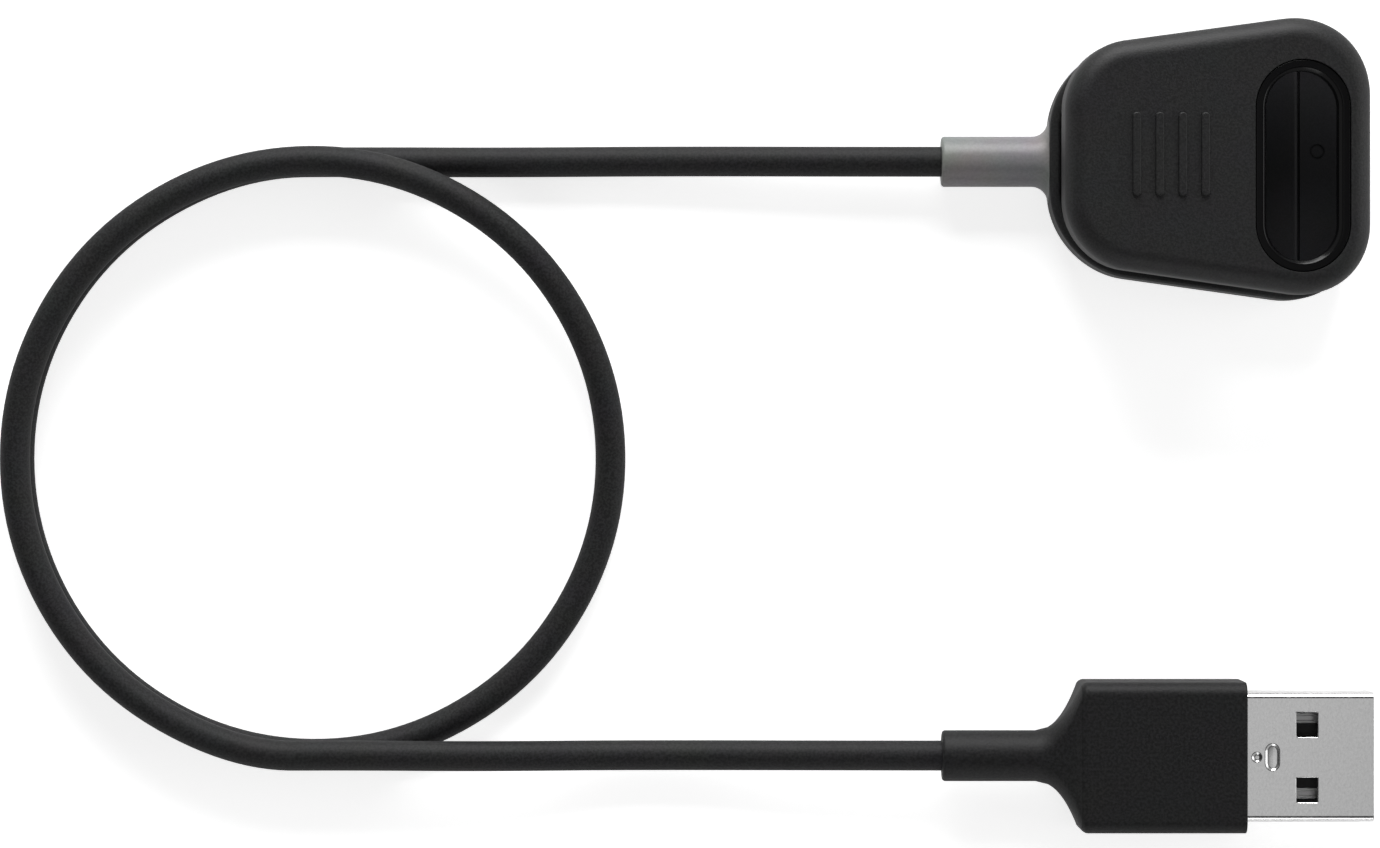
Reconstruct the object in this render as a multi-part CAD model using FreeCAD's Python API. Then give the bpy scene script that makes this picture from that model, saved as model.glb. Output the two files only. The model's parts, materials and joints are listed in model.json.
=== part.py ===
"""A clip-on charging cable for a wrist tracker.

A sprung two-armed clip grips the tracker and presses three contact pins on its back. A round cord
leaves the clip's tail through a strain relief, makes one and a half turns on the table and ends in
a USB-A plug. +X points from the clip's tail to its jaw, +Z is up, the table is z = 0, and the
origin is at the middle of the clip's foot. Lengths are in millimetres, angles in degrees.
"""

import FreeCAD
import Part
import math
import os

V = FreeCAD.Vector

# Clip outline, seen from above
CLIP_LENGTH = 28.7
CLIP_WIDTH_AT_MIDDLE = 23.9
SIDE_TAPER = 8.0
LOWER_TAIL_CORNER_R = 8.2
UPPER_TAIL_CORNER_R = 6.6
JAW_LEFT_CORNER_R = 7.4
JAW_RIGHT_CORNER_R = 6.7
UPPER_SETBACK = 0.3

# Clip heights
LOWER_HEIGHT = 5.6
UPPER_HEIGHT = 4.2
PIVOT_ABOVE_LOWER = 2.8
UPPER_ABOVE_PIVOT = 2.8
REST_TILT = 4.0

# Moulded walls
COVER_WALL = 1.0
FLOOR_WALL = 0.9
PLATE_THICKNESS = 1.0
FOOT_EDGE_R = 1.5
TOP_EDGE_R = 1.9
RIM_EDGE_R = 0.35
SEAT_CLEARANCE = 0.05
CUT_PAST = 1.0
SAME_PLACE = 1e-4

# Hinge
PIVOT_X = -2.5
PIN_R = 0.8
PIN_RUNNING_CLEARANCE = 0.05
EAR_R = 2.1
EAR_INNER_Y = 6.5
EAR_THICKNESS = 1.8
LUG_THICKNESS = 1.8
LUG_SIDE_GAP = 0.3
PIN_CHAMFER = 0.2

# Wall that stops the tracker and carries the closed upper arm
STOP_GAP_TO_EAR = 0.4
STOP_THICKNESS = 0.8
STOP_HALF_WIDTH = 9.0
STOP_REST_GAP = 0.05

# Window through the upper arm
WINDOW_FROM_JAW = 6.8
WINDOW_Y = -1.0
WINDOW_WIDTH = 6.7
WINDOW_LENGTH = 17.3
BEZEL_RING = 1.05
BEZEL_BEVEL = 0.3
BEZEL_BELOW_TOP = 0.1
BEZEL_LIP = 1.5
BEZEL_SKIRT = 0.4

# Grip ribs on the upper arm
RIB_COUNT = 4
RIB_PITCH = 2.1
RIB_LENGTH = 7.6
RIB_WIDTH = 0.8
RIB_HEIGHT = 0.28
RIB_CORNER_R = 0.36
RIB_EDGE_R = 0.15
RIBS_FROM_TAIL = 9.75

# Round moulding mark on the jaw floor
MARK_FROM_WINDOW_X = 2.9
MARK_FROM_WINDOW_Y = 1.8
MARK_R = 0.7
MARK_LINE_WIDTH = 0.18
MARK_DEPTH = 0.08

# Contact block
BLOCK_TAIL_X = 0.9
BLOCK_JAW_X = 8.6
BLOCK_HALF_WIDTH = 9.4
BLOCK_RISE = 0.5
BLOCK_SINK = 0.5
BLOCK_EDGE_R = 0.45
GROOVE_WIDTH = 0.25
BOSS_MARGIN = 1.25

# Contact pins
CONTACT_X = 2.5
CONTACT_PITCH = 2.54
CONTACT_COUNT = 3
BARREL_R = 0.72
BARREL_BORE_R = 0.53
BARREL_BASE = 0.3
PLUNGER_R = 0.48
PLUNGER_RISE = 1.1
PLUNGER_LENGTH = 2.2
CONTACT_SPRING_WIRE_R = 0.07
CONTACT_SPRING_TURNS = 4
SPRING_END_GAP = 0.03
SPRING_SIDE_GAP = 0.04
COIL_CORNERS = 8

# Circuit board
BOARD_THICKNESS = 0.8
BOARD_ABOVE_FLOOR = 0.7
BOARD_TAIL_X = -9.0
BOARD_JAW_X = 5.6
BOARD_HALF_WIDTH = 6.0
BOARD_CORNER_R = 0.8
BOARD_RAIL_WIDTH = 1.2
BOARD_RAIL_INSET = 1.0

# Torsion spring
SPRING_WIRE_R = 0.25
SPRING_COIL_R = 1.55
SPRING_TURNS = 7.5
SPRING_PITCH = 0.6
SPRING_LEG_REACH = 7.0

# Cord
CORD_R = 1.4
CORD_EXIT_Z = 2.75
CORD_FLOOR_Z = 1.42
CORD_LAP_Z = 4.42
LOOP_X = -82.9
LOOP_Y = -27.7
LOOP_R = 27.7
CORNERS_PER_TURN = 12
BEND_SHARE = 0.45
CLIP_TO_LOOP = [
    (-30.5, 0.0, CORD_EXIT_Z),
    (-50.0, 0.1, 1.75),
    (-65.5, 0.0, CORD_FLOOR_Z),
    (-77.0, 0.05, 1.43),
]
LOOP_LIFTS = [0.0, 0.0, 0.0, 0.32, 0.82, 1.0]
LOOP_TO_PLUG = [
    (-79.0, 0.05, CORD_LAP_Z),
    (-67.0, -0.05, 4.4),
    (-53.0, -0.1, 1.6),
]
NECK_LEAD = 6.2

# Strain relief
RELIEF_R = 2.35
RELIEF_LENGTH = 9.95
RELIEF_FLARE_R = 1.5
RELIEF_TIP_R = 0.4
RELIEF_KEY_HALF_WIDTH = 3.2
RELIEF_KEY_LENGTH = 2.1
RELIEF_KEY_HALF_HEIGHT = 1.75

# Cable cores
CORE_R = 0.28
CORE_SPACING = 0.65
CORE_COUNT = 4
CORE_REACH_ON_BOARD = 1.6

# Plug, on its own axis
PLUG_Y = -55.4
PLUG_Z = 4.0
PLUG_FRONT_X = 3.75
PLUG_BODY_LENGTH = 15.15
PLUG_WIDTH = 14.0
PLUG_HEIGHT = 8.0
PLUG_EDGE_R = 1.2
PLUG_FRONT_EDGE_R = 0.12
PLUG_SHOULDER = 0.45
NECK_R = 2.37
NECK_LENGTH = 8.7
FLARE_LENGTH = 4.2
FLARE_LIP = 0.02
FLARE_POWER = 2.2
FLARE_STEPS = 5
PLUG_WALL = 1.0

# USB-A shell, to the standard
SHELL_WIDTH = 12.0
SHELL_HEIGHT = 4.5
SHELL_WALL = 0.3
SHELL_CORNER_R = 0.6
SHELL_SHOWS = 11.95
SHELL_BURIED = 6.9
LATCH_WIDTH = 2.3
LATCH_LENGTH = 2.0
LATCH_SPACING = 6.06
LATCH_FROM_MOUTH = 5.25
DIMPLE_R = 0.45
DIMPLE_FROM_BODY = 1.05
PAD_LENGTH = 2.5
PAD_WIDTH = 1.3
PAD_FROM_BODY = 2.5
MARK_PRESS_DEPTH = 0.16
MARK_PRESS_EDGE_R = 0.13
TONGUE_THICKNESS = 1.9
TONGUE_RECESS = 0.5
INSULATOR_BASE_LENGTH = 5.4
INSULATOR_REAR_INSET = 1.2
INSULATOR_SIDE_GAP = 0.05
PIN_WIDTH = 1.0
PIN_THICKNESS = 0.25
PIN_PROUD = 0.06
PIN_OUTER_Y = 3.5
PIN_INNER_Y = 1.0
PIN_OUTER_FROM_MOUTH = 1.5
PIN_INNER_FROM_MOUTH = 2.5
PIN_TAIL = 1.2

# Inner mould, crimp and cord end inside the plug
MOULD_TAIL_X = -9.4
CRIMP_WALL = 0.35
CRIMP_LENGTH = 2.2

# Derived levels and places
PIVOT_Z = LOWER_HEIGHT + PIVOT_ABOVE_LOWER
UPPER_BOTTOM = PIVOT_Z + UPPER_ABOVE_PIVOT
UPPER_TOP = UPPER_BOTTOM + UPPER_HEIGHT
CLIP_TAIL_X = -CLIP_LENGTH / 2
WINDOW_X = CLIP_LENGTH / 2 - WINDOW_FROM_JAW
RIBS_X = CLIP_TAIL_X + RIBS_FROM_TAIL
PLATE_BOTTOM = LOWER_HEIGHT - PLATE_THICKNESS
BOARD_BOTTOM = FLOOR_WALL + BOARD_ABOVE_FLOOR
BOARD_TOP = BOARD_BOTTOM + BOARD_THICKNESS
BLOCK_TOP = LOWER_HEIGHT + BLOCK_RISE
CORE_Z = BOARD_TOP + CORE_R
RELIEF_TIP_X = CLIP_TAIL_X - RELIEF_LENGTH
RELIEF_WALL_X = CLIP_TAIL_X + COVER_WALL
RELIEF_INNER_X = RELIEF_WALL_X + SEAT_CLEARANCE + RELIEF_KEY_LENGTH
PLUG_BACK_X = PLUG_FRONT_X - PLUG_BODY_LENGTH
NECK_END_X = PLUG_BACK_X - FLARE_LENGTH
NECK_TIP_X = NECK_END_X - NECK_LENGTH
SHELL_MOUTH_X = PLUG_FRONT_X + SHELL_SHOWS
SHELL_TAIL_X = PLUG_FRONT_X - SHELL_BURIED
CORD_PLUG_END_X = MOULD_TAIL_X + CRIMP_LENGTH


def save(name, shape):
    """Writes one named piece and prints its size as a check."""
    if not shape.isValid():
        raise ValueError(name + " is not a valid shape")
    shape.exportStep("parts/" + name + ".step")
    print(name, "solids", len(shape.Solids), "volume", round(shape.Volume, 3))


def box(low, high):
    """A block between two corners."""
    size = V(*high) - V(*low)
    return Part.makeBox(size.x, size.y, size.z, V(*low))


def rod(start, end, radius):
    """A round rod between two points."""
    axis = end - start
    return Part.makeCylinder(radius, axis.Length, start, axis)


def rounded_wire(corners, radii):
    """A closed flat wire through convex corners, each rounded by its own radius."""
    count = len(corners)
    tangents = []
    for i, corner in enumerate(corners):
        back = (corners[i - 1] - corner).normalize()
        ahead = (corners[(i + 1) % count] - corner).normalize()
        half = back.getAngle(ahead) / 2
        reach = radii[i] / math.tan(half)
        centre = corner + (back + ahead).normalize() * (radii[i] / math.sin(half))
        middle = centre + (corner - centre).normalize() * radii[i]
        tangents.append((corner + back * reach, middle, corner + ahead * reach))
    edges = []
    for i, (start, middle, end) in enumerate(tangents):
        edges.append(Part.Arc(start, middle, end).toShape())
        following = tangents[(i + 1) % count][0]
        if end.distanceToPoint(following) > SAME_PLACE:
            edges.append(Part.LineSegment(end, following).toShape())
    return Part.Wire(edges)


def prism(wire, height):
    """Raises a flat wire into a solid."""
    return Part.Face(wire).extrude(V(0, 0, height))


def arm_wire(tail_corner, inset, z):
    """An arm's outline at a height: a rounded trapezium, drawn in by the inset."""
    slope = math.tan(math.radians(SIDE_TAPER))
    side = CLIP_WIDTH_AT_MIDDLE / 2 - inset / math.cos(math.radians(SIDE_TAPER))
    tail = -CLIP_LENGTH / 2 + inset
    jaw = CLIP_LENGTH / 2 - inset
    corners = [
        V(tail, -side - slope * tail, z),
        V(jaw, -side - slope * jaw, z),
        V(jaw, side + slope * jaw, z),
        V(tail, side + slope * tail, z),
    ]
    radii = [tail_corner, JAW_RIGHT_CORNER_R, JAW_LEFT_CORNER_R, tail_corner]
    return rounded_wire(corners, [radius - inset for radius in radii])


def lower_wire(inset, z):
    """The lower arm's outline at a height, drawn in by the inset."""
    return arm_wire(LOWER_TAIL_CORNER_R, inset, z)


def upper_wire(inset, z):
    """The upper arm's outline at a height, set back from the lower arm and drawn in by the inset."""
    return arm_wire(UPPER_TAIL_CORNER_R, UPPER_SETBACK + inset, z)


def slot_wire(centre_x, centre_y, width, length, corner, z):
    """A slot's outline with rounded ends, long along Y."""
    corners = []
    for sign_x, sign_y in ((-1, -1), (1, -1), (1, 1), (-1, 1)):
        corners.append(V(centre_x + sign_x * width / 2, centre_y + sign_y * length / 2, z))
    return rounded_wire(corners, [corner] * 4)


def round_edges_at(shape, z, radius):
    """Rolls over the outline edges that lie at one height."""
    edges = []
    for edge in shape.Edges:
        limits = edge.BoundBox
        if abs(limits.ZMin - z) < SAME_PLACE and abs(limits.ZMax - z) < SAME_PLACE:
            edges.append(edge)
    return shape.makeFillet(radius, edges)


def tilted(shape):
    """Turns a piece of the upper arm from its level frame to its rest about the pivot."""
    turned = shape.copy()
    turned.rotate(V(PIVOT_X, 0, PIVOT_Z), V(0, 1, 0), REST_TILT)
    return turned


def one_solid(shape):
    """The single solid inside a shape, with its leftover seams merged."""
    clean = shape.removeSplitter()
    if len(clean.Solids) != 1:
        raise ValueError("expected one solid, found " + str(len(clean.Solids)))
    return clean.Solids[0]


def lower_arm_cover():
    """The soft outer tub of the lower arm, with rails that carry the board."""
    outer = prism(lower_wire(0, 0), LOWER_HEIGHT)
    outer = round_edges_at(outer, 0, FOOT_EDGE_R)
    outer = round_edges_at(outer, LOWER_HEIGHT, RIM_EDGE_R)
    hollow = prism(lower_wire(COVER_WALL, FLOOR_WALL), LOWER_HEIGHT)
    tub = outer.cut(hollow)
    for sign in (-1, 1):
        near = sign * (BOARD_HALF_WIDTH - BOARD_RAIL_INSET - BOARD_RAIL_WIDTH)
        far = sign * (BOARD_HALF_WIDTH - BOARD_RAIL_INSET)
        rail = box(
            (BOARD_TAIL_X, min(near, far), FLOOR_WALL),
            (BOARD_JAW_X, max(near, far), BOARD_BOTTOM),
        )
        tub = tub.fuse(rail)
    outside = V(CLIP_TAIL_X - CUT_PAST, 0, CORD_EXIT_Z)
    inside = V(RELIEF_WALL_X + CUT_PAST, 0, CORD_EXIT_Z)
    passage = rod(outside, inside, neck_radius())
    return one_solid(tub.cut(passage))


def neck_radius():
    """The radius of the relief where it passes the tail wall."""
    return RELIEF_KEY_HALF_HEIGHT


def strain_relief():
    """The soft grey sleeve round the cord, with a flare on the wall and a key inside it."""
    tip = V(RELIEF_TIP_X, 0, CORD_EXIT_Z)
    wall = V(CLIP_TAIL_X, 0, CORD_EXIT_Z)
    sleeve = Part.makeCylinder(RELIEF_R, RELIEF_LENGTH, tip, V(1, 0, 0))
    rim = [e for e in sleeve.Edges if abs(e.BoundBox.XMax - RELIEF_TIP_X) < SAME_PLACE]
    sleeve = sleeve.makeFillet(RELIEF_TIP_R, rim)
    flare_start = CLIP_TAIL_X - RELIEF_FLARE_R
    turn = math.sqrt(0.5)
    profile = Part.Wire([
        Part.Arc(
            V(flare_start, 0, CORD_EXIT_Z + RELIEF_R),
            V(flare_start + RELIEF_FLARE_R * turn, 0, CORD_EXIT_Z + RELIEF_R + RELIEF_FLARE_R * (1 - turn)),
            V(CLIP_TAIL_X, 0, CORD_EXIT_Z + RELIEF_R + RELIEF_FLARE_R),
        ).toShape(),
        Part.LineSegment(V(CLIP_TAIL_X, 0, CORD_EXIT_Z + RELIEF_R + RELIEF_FLARE_R), wall).toShape(),
        Part.LineSegment(wall, V(flare_start, 0, CORD_EXIT_Z)).toShape(),
        Part.LineSegment(V(flare_start, 0, CORD_EXIT_Z), V(flare_start, 0, CORD_EXIT_Z + RELIEF_R)).toShape(),
    ])
    flare = Part.Face(profile).revolve(wall, V(1, 0, 0), 360)
    level = box(
        (flare_start - CUT_PAST, -2 * RELIEF_R - RELIEF_FLARE_R, CORD_EXIT_Z - RELIEF_R),
        (CLIP_TAIL_X, 2 * RELIEF_R + RELIEF_FLARE_R, CORD_EXIT_Z + RELIEF_R),
    )
    neck = rod(wall, V(RELIEF_INNER_X, 0, CORD_EXIT_Z), neck_radius())
    key = box(
        (RELIEF_WALL_X + SEAT_CLEARANCE, -RELIEF_KEY_HALF_WIDTH, CORD_EXIT_Z - RELIEF_KEY_HALF_HEIGHT),
        (RELIEF_INNER_X, RELIEF_KEY_HALF_WIDTH, CORD_EXIT_Z + RELIEF_KEY_HALF_HEIGHT),
    )
    solid = sleeve.fuse([flare.common(level), neck, key])
    bore = rod(tip - V(CUT_PAST, 0, 0), V(RELIEF_INNER_X + CUT_PAST, 0, CORD_EXIT_Z), CORD_R)
    return one_solid(solid.cut(bore))


def stop_top():
    """The height of the stop wall, just under the closed upper arm."""
    tilt = math.radians(REST_TILT)
    far = EAR_R + STOP_GAP_TO_EAR + STOP_THICKNESS
    return PIVOT_Z + UPPER_ABOVE_PIVOT * math.cos(tilt) - far * math.tan(tilt) - STOP_REST_GAP


def boss_box(grow, bottom, top):
    """The block's boss round the contact barrels, or the slot it passes through."""
    half_x = BARREL_R + BOSS_MARGIN / 2 + grow
    half_y = contact_y(CONTACT_COUNT - 1) + BARREL_R + BOSS_MARGIN / 2 + grow
    return box((CONTACT_X - half_x, -half_y, bottom), (CONTACT_X + half_x, half_y, top))


def contact_y(index):
    """The place of one contact across the jaw."""
    return (index - (CONTACT_COUNT - 1) / 2) * CONTACT_PITCH


def lower_arm_frame():
    """The hard plate that closes the lower arm, with hinge ears and the stop wall."""
    plate = prism(lower_wire(COVER_WALL + SEAT_CLEARANCE, PLATE_BOTTOM), PLATE_THICKNESS)
    pocket = box(
        (BLOCK_TAIL_X - SEAT_CLEARANCE, -BLOCK_HALF_WIDTH - SEAT_CLEARANCE, LOWER_HEIGHT - BLOCK_SINK),
        (BLOCK_JAW_X + GROOVE_WIDTH, BLOCK_HALF_WIDTH + SEAT_CLEARANCE, LOWER_HEIGHT + CUT_PAST),
    )
    frame = plate.cut(pocket).cut(boss_box(SEAT_CLEARANCE, PLATE_BOTTOM - CUT_PAST, LOWER_HEIGHT))
    ears = []
    for sign in (-1, 1):
        inner = sign * EAR_INNER_Y
        outer = sign * (EAR_INNER_Y + EAR_THICKNESS)
        low, high = min(inner, outer), max(inner, outer)
        top = rod(V(PIVOT_X, low, PIVOT_Z), V(PIVOT_X, high, PIVOT_Z), EAR_R)
        root = LOWER_HEIGHT - PLATE_THICKNESS / 2
        post = box((PIVOT_X - EAR_R, low, root), (PIVOT_X + EAR_R, high, PIVOT_Z))
        ears.append(top.fuse(post))
    wall_x = PIVOT_X + EAR_R + STOP_GAP_TO_EAR
    wall = box(
        (wall_x, -STOP_HALF_WIDTH, LOWER_HEIGHT - PLATE_THICKNESS / 2),
        (wall_x + STOP_THICKNESS, STOP_HALF_WIDTH, stop_top()),
    )
    frame = frame.fuse(ears + [wall])
    end = EAR_INNER_Y + EAR_THICKNESS + CUT_PAST
    bore = rod(V(PIVOT_X, -end, PIVOT_Z), V(PIVOT_X, end, PIVOT_Z), PIN_R)
    mark = ring_mark()
    return one_solid(frame.cut(bore).cut(mark))


def ring_mark():
    """A shallow round moulding mark on the jaw floor."""
    centre = V(WINDOW_X + MARK_FROM_WINDOW_X, WINDOW_Y + MARK_FROM_WINDOW_Y, LOWER_HEIGHT - MARK_DEPTH)
    ring = Part.makeCylinder(MARK_R, CUT_PAST, centre, V(0, 0, 1))
    return ring.cut(Part.makeCylinder(MARK_R - MARK_LINE_WIDTH, CUT_PAST, centre, V(0, 0, 1)))


def contact_block():
    """The raised block in the jaw that carries the contact pins."""
    slab = box(
        (BLOCK_TAIL_X, -BLOCK_HALF_WIDTH, LOWER_HEIGHT - BLOCK_SINK),
        (BLOCK_JAW_X, BLOCK_HALF_WIDTH, BLOCK_TOP),
    )
    slab = round_edges_at(slab, BLOCK_TOP, BLOCK_EDGE_R)
    block = slab.fuse(boss_box(0, BOARD_TOP, LOWER_HEIGHT))
    for index in range(CONTACT_COUNT):
        foot = V(CONTACT_X, contact_y(index), BOARD_TOP - CUT_PAST)
        block = block.cut(Part.makeCylinder(BARREL_R, BLOCK_TOP - BOARD_TOP + 2 * CUT_PAST, foot, V(0, 0, 1)))
    return one_solid(block)


def contact_barrels():
    """The fixed brass barrels of the contact pins, as separate solids."""
    barrels = []
    for index in range(CONTACT_COUNT):
        foot = V(CONTACT_X, contact_y(index), BOARD_TOP)
        tube = Part.makeCylinder(BARREL_R, BLOCK_TOP - BOARD_TOP, foot, V(0, 0, 1))
        bore = Part.makeCylinder(BARREL_BORE_R, BLOCK_TOP, foot + V(0, 0, BARREL_BASE), V(0, 0, 1))
        barrels.append(tube.cut(bore))
    return Part.makeCompound(barrels)


def plunger_foot():
    """The height of a plunger's foot at rest."""
    return BLOCK_TOP + PLUNGER_RISE - PLUNGER_LENGTH


def contact_plunger(index):
    """One gold contact pin with a round nose."""
    foot = V(CONTACT_X, contact_y(index), plunger_foot())
    straight = PLUNGER_LENGTH - PLUNGER_R
    body = Part.makeCylinder(PLUNGER_R, straight, foot, V(0, 0, 1))
    nose = Part.makeSphere(PLUNGER_R, foot + V(0, 0, straight))
    return one_solid(body.fuse(nose))


def coil_corners(radius, turns, height):
    """The corners of a coil about the Z axis, whose runs touch a circle of that radius."""
    step = 2 * math.pi / COIL_CORNERS
    reach = radius / math.cos(step / 2)
    count = round(turns * COIL_CORNERS)
    corners = []
    for index in range(count):
        angle = step * (index + 0.5)
        corners.append(V(reach * math.cos(angle), reach * math.sin(angle), height * index / (count - 1)))
    return corners


def contact_spring(index):
    """The small compression spring under one contact pin."""
    bottom = BOARD_TOP + BARREL_BASE + SPRING_END_GAP + CONTACT_SPRING_WIRE_R
    top = plunger_foot() - SPRING_END_GAP - CONTACT_SPRING_WIRE_R
    radius = BARREL_BORE_R - CONTACT_SPRING_WIRE_R - SPRING_SIDE_GAP
    corners = coil_corners(radius, CONTACT_SPRING_TURNS, top - bottom)
    coil = bent_tube(corners, CONTACT_SPRING_WIRE_R)[0]
    coil.translate(V(CONTACT_X, contact_y(index), bottom))
    return coil


def circuit_board():
    """The small board that the cable cores and the contacts are soldered to."""
    corners = [
        V(BOARD_TAIL_X, -BOARD_HALF_WIDTH, BOARD_BOTTOM),
        V(BOARD_JAW_X, -BOARD_HALF_WIDTH, BOARD_BOTTOM),
        V(BOARD_JAW_X, BOARD_HALF_WIDTH, BOARD_BOTTOM),
        V(BOARD_TAIL_X, BOARD_HALF_WIDTH, BOARD_BOTTOM),
    ]
    return one_solid(prism(rounded_wire(corners, [BOARD_CORNER_R] * 4), BOARD_THICKNESS))


def hinge_pin():
    """The steel pin, pressed in the lower arm's ears."""
    end = EAR_INNER_Y + EAR_THICKNESS
    pin = rod(V(PIVOT_X, -end, PIVOT_Z), V(PIVOT_X, end, PIVOT_Z), PIN_R)
    rims = [e for e in pin.Edges if e.BoundBox.YLength < SAME_PLACE]
    return one_solid(pin.makeChamfer(PIN_CHAMFER, rims))


def torsion_spring():
    """The coil on the pin, with a leg on each arm, which closes the jaw."""
    width = SPRING_TURNS * SPRING_PITCH
    tilt = math.radians(REST_TILT)
    clear = SPRING_WIRE_R + SPRING_END_GAP
    leg_x = PIVOT_X - SPRING_LEG_REACH
    under_upper = PIVOT_Z + UPPER_ABOVE_PIVOT / math.cos(tilt) + SPRING_LEG_REACH * math.tan(tilt)
    route = [V(leg_x, -width / 2, under_upper - clear / math.cos(tilt))]
    for corner in coil_corners(SPRING_COIL_R, SPRING_TURNS, width):
        route.append(V(PIVOT_X + corner.y, corner.z - width / 2, PIVOT_Z + corner.x))
    route.append(V(leg_x, width / 2, LOWER_HEIGHT + clear))
    return bent_tube(route, SPRING_WIRE_R)[0]


def core_y(index):
    """The place of one cable core across the cord."""
    return (index - (CORE_COUNT - 1) / 2) * CORE_SPACING


def board_cores():
    """The cable cores from the cord's end to the board, as separate solids."""
    cores = []
    for index in range(CORE_COUNT):
        start = V(RELIEF_INNER_X, core_y(index), CORE_Z)
        end = V(BOARD_TAIL_X + CORE_REACH_ON_BOARD, core_y(index), CORE_Z)
        cores.append(rod(start, end, CORE_R))
    return Part.makeCompound(cores)


def bezel_width(part):
    """The window's size across, at its ring or at its hole."""
    return WINDOW_WIDTH + 2 * BEZEL_RING * part


def bezel_length(part):
    """The window's size along, at its ring or at its hole."""
    return WINDOW_LENGTH + 2 * BEZEL_RING * part


def window_prism(ring, grow, bottom, top):
    """The window's slot between two heights, in the upper arm's level frame."""
    width = bezel_width(ring) + 2 * grow
    wire = slot_wire(WINDOW_X, WINDOW_Y, width, bezel_length(ring) + 2 * grow, width / 2, bottom)
    return prism(wire, top - bottom)


def upper_arm_cover():
    """The soft outer shell of the upper arm, with the window and raised grip ribs."""
    outer = prism(upper_wire(0, UPPER_BOTTOM), UPPER_HEIGHT)
    outer = round_edges_at(outer, UPPER_TOP, TOP_EDGE_R)
    outer = round_edges_at(outer, UPPER_BOTTOM, RIM_EDGE_R)
    inner_wire = upper_wire(COVER_WALL, UPPER_BOTTOM - CUT_PAST)
    hollow = prism(inner_wire, UPPER_HEIGHT - FLOOR_WALL + CUT_PAST)
    hollow = round_edges_at(hollow, UPPER_TOP - FLOOR_WALL, TOP_EDGE_R - FLOOR_WALL)
    cover = outer.cut(hollow)
    cover = cover.cut(window_prism(1, 0, UPPER_BOTTOM - CUT_PAST, UPPER_TOP + CUT_PAST))
    ribs = []
    for index in range(RIB_COUNT):
        x = RIBS_X + (index - (RIB_COUNT - 1) / 2) * RIB_PITCH
        root = UPPER_TOP - FLOOR_WALL / 2
        outline = slot_wire(x, 0, RIB_WIDTH, RIB_LENGTH, RIB_CORNER_R, root)
        rib = prism(outline, UPPER_TOP + RIB_HEIGHT - root)
        ribs.append(round_edges_at(rib, UPPER_TOP + RIB_HEIGHT, RIB_EDGE_R))
    return tilted(one_solid(cover.fuse(ribs)))


def upper_arm_frame():
    """The hard plate inside the upper arm, with the hinge lugs and the window hole."""
    wire = upper_wire(COVER_WALL + SEAT_CLEARANCE, UPPER_BOTTOM)
    frame = prism(wire, PLATE_THICKNESS)
    lugs = []
    for sign in (-1, 1):
        outer = sign * (EAR_INNER_Y - LUG_SIDE_GAP)
        inner = sign * (EAR_INNER_Y - LUG_SIDE_GAP - LUG_THICKNESS)
        low, high = min(inner, outer), max(inner, outer)
        eye = rod(V(PIVOT_X, low, PIVOT_Z), V(PIVOT_X, high, PIVOT_Z), EAR_R)
        root = UPPER_BOTTOM + PLATE_THICKNESS / 2
        web = box((PIVOT_X - EAR_R, low, PIVOT_Z), (PIVOT_X + EAR_R, high, root))
        lugs.append(eye.fuse(web))
    frame = frame.fuse(lugs)
    end = EAR_INNER_Y
    bore = rod(V(PIVOT_X, -end, PIVOT_Z), V(PIVOT_X, end, PIVOT_Z), PIN_R + PIN_RUNNING_CLEARANCE)
    plate_top = UPPER_BOTTOM + PLATE_THICKNESS
    hole = window_prism(1, -BEZEL_SKIRT, UPPER_BOTTOM - CUT_PAST, plate_top + CUT_PAST)
    frame = frame.cut(bore).cut(hole)
    return tilted(one_solid(frame))


def window_bezel():
    """The glossy ring that lines the window: a bevelled lip that stands on a thin skirt."""
    bottom = UPPER_BOTTOM + PLATE_THICKNESS
    top = UPPER_TOP - BEZEL_BELOW_TOP
    ring = window_prism(1, -SEAT_CLEARANCE, bottom, top)
    ring = ring.cut(window_prism(0, 0, bottom - CUT_PAST, top + CUT_PAST))
    ring = ring.cut(window_prism(1, -BEZEL_SKIRT, bottom - CUT_PAST, top - BEZEL_LIP))
    inner = []
    for edge in ring.Edges:
        limits = edge.BoundBox
        across = max(limits.XMax - WINDOW_X, WINDOW_X - limits.XMin)
        if across < bezel_width(0) / 2 + SAME_PLACE and limits.ZMin > top - SAME_PLACE:
            inner.append(edge)
    return tilted(one_solid(ring.makeChamfer(BEZEL_BEVEL, inner)))


def loop_corners():
    """The corners of the one and a half turns: half a turn on the table, half rising, half on the first."""
    step = 2 * math.pi / CORNERS_PER_TURN
    reach = LOOP_R / math.cos(step / 2)
    half = CORNERS_PER_TURN // 2
    lifts = [0.0] * half + LOOP_LIFTS + [1.0] * half
    points = []
    for index, lift in enumerate(lifts):
        angle = math.pi / 2 + step * (index + 0.5)
        z = CORD_FLOOR_Z + lift * (CORD_LAP_Z - CORD_FLOOR_Z)
        points.append(V(LOOP_X + reach * math.cos(angle), LOOP_Y + reach * math.sin(angle), z))
    return points


def cord_route():
    """The corners of the cord's route, from inside the relief to inside the plug."""
    points = [V(RELIEF_INNER_X, 0, CORD_EXIT_Z)]
    points += [V(*point) for point in CLIP_TO_LOOP]
    points += loop_corners()
    points += [V(x, PLUG_Y + y, z) for x, y, z in LOOP_TO_PLUG]
    points.append(V(NECK_TIP_X - NECK_LEAD, PLUG_Y, PLUG_Z))
    points.append(V(CORD_PLUG_END_X, PLUG_Y, PLUG_Z))
    return points


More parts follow.
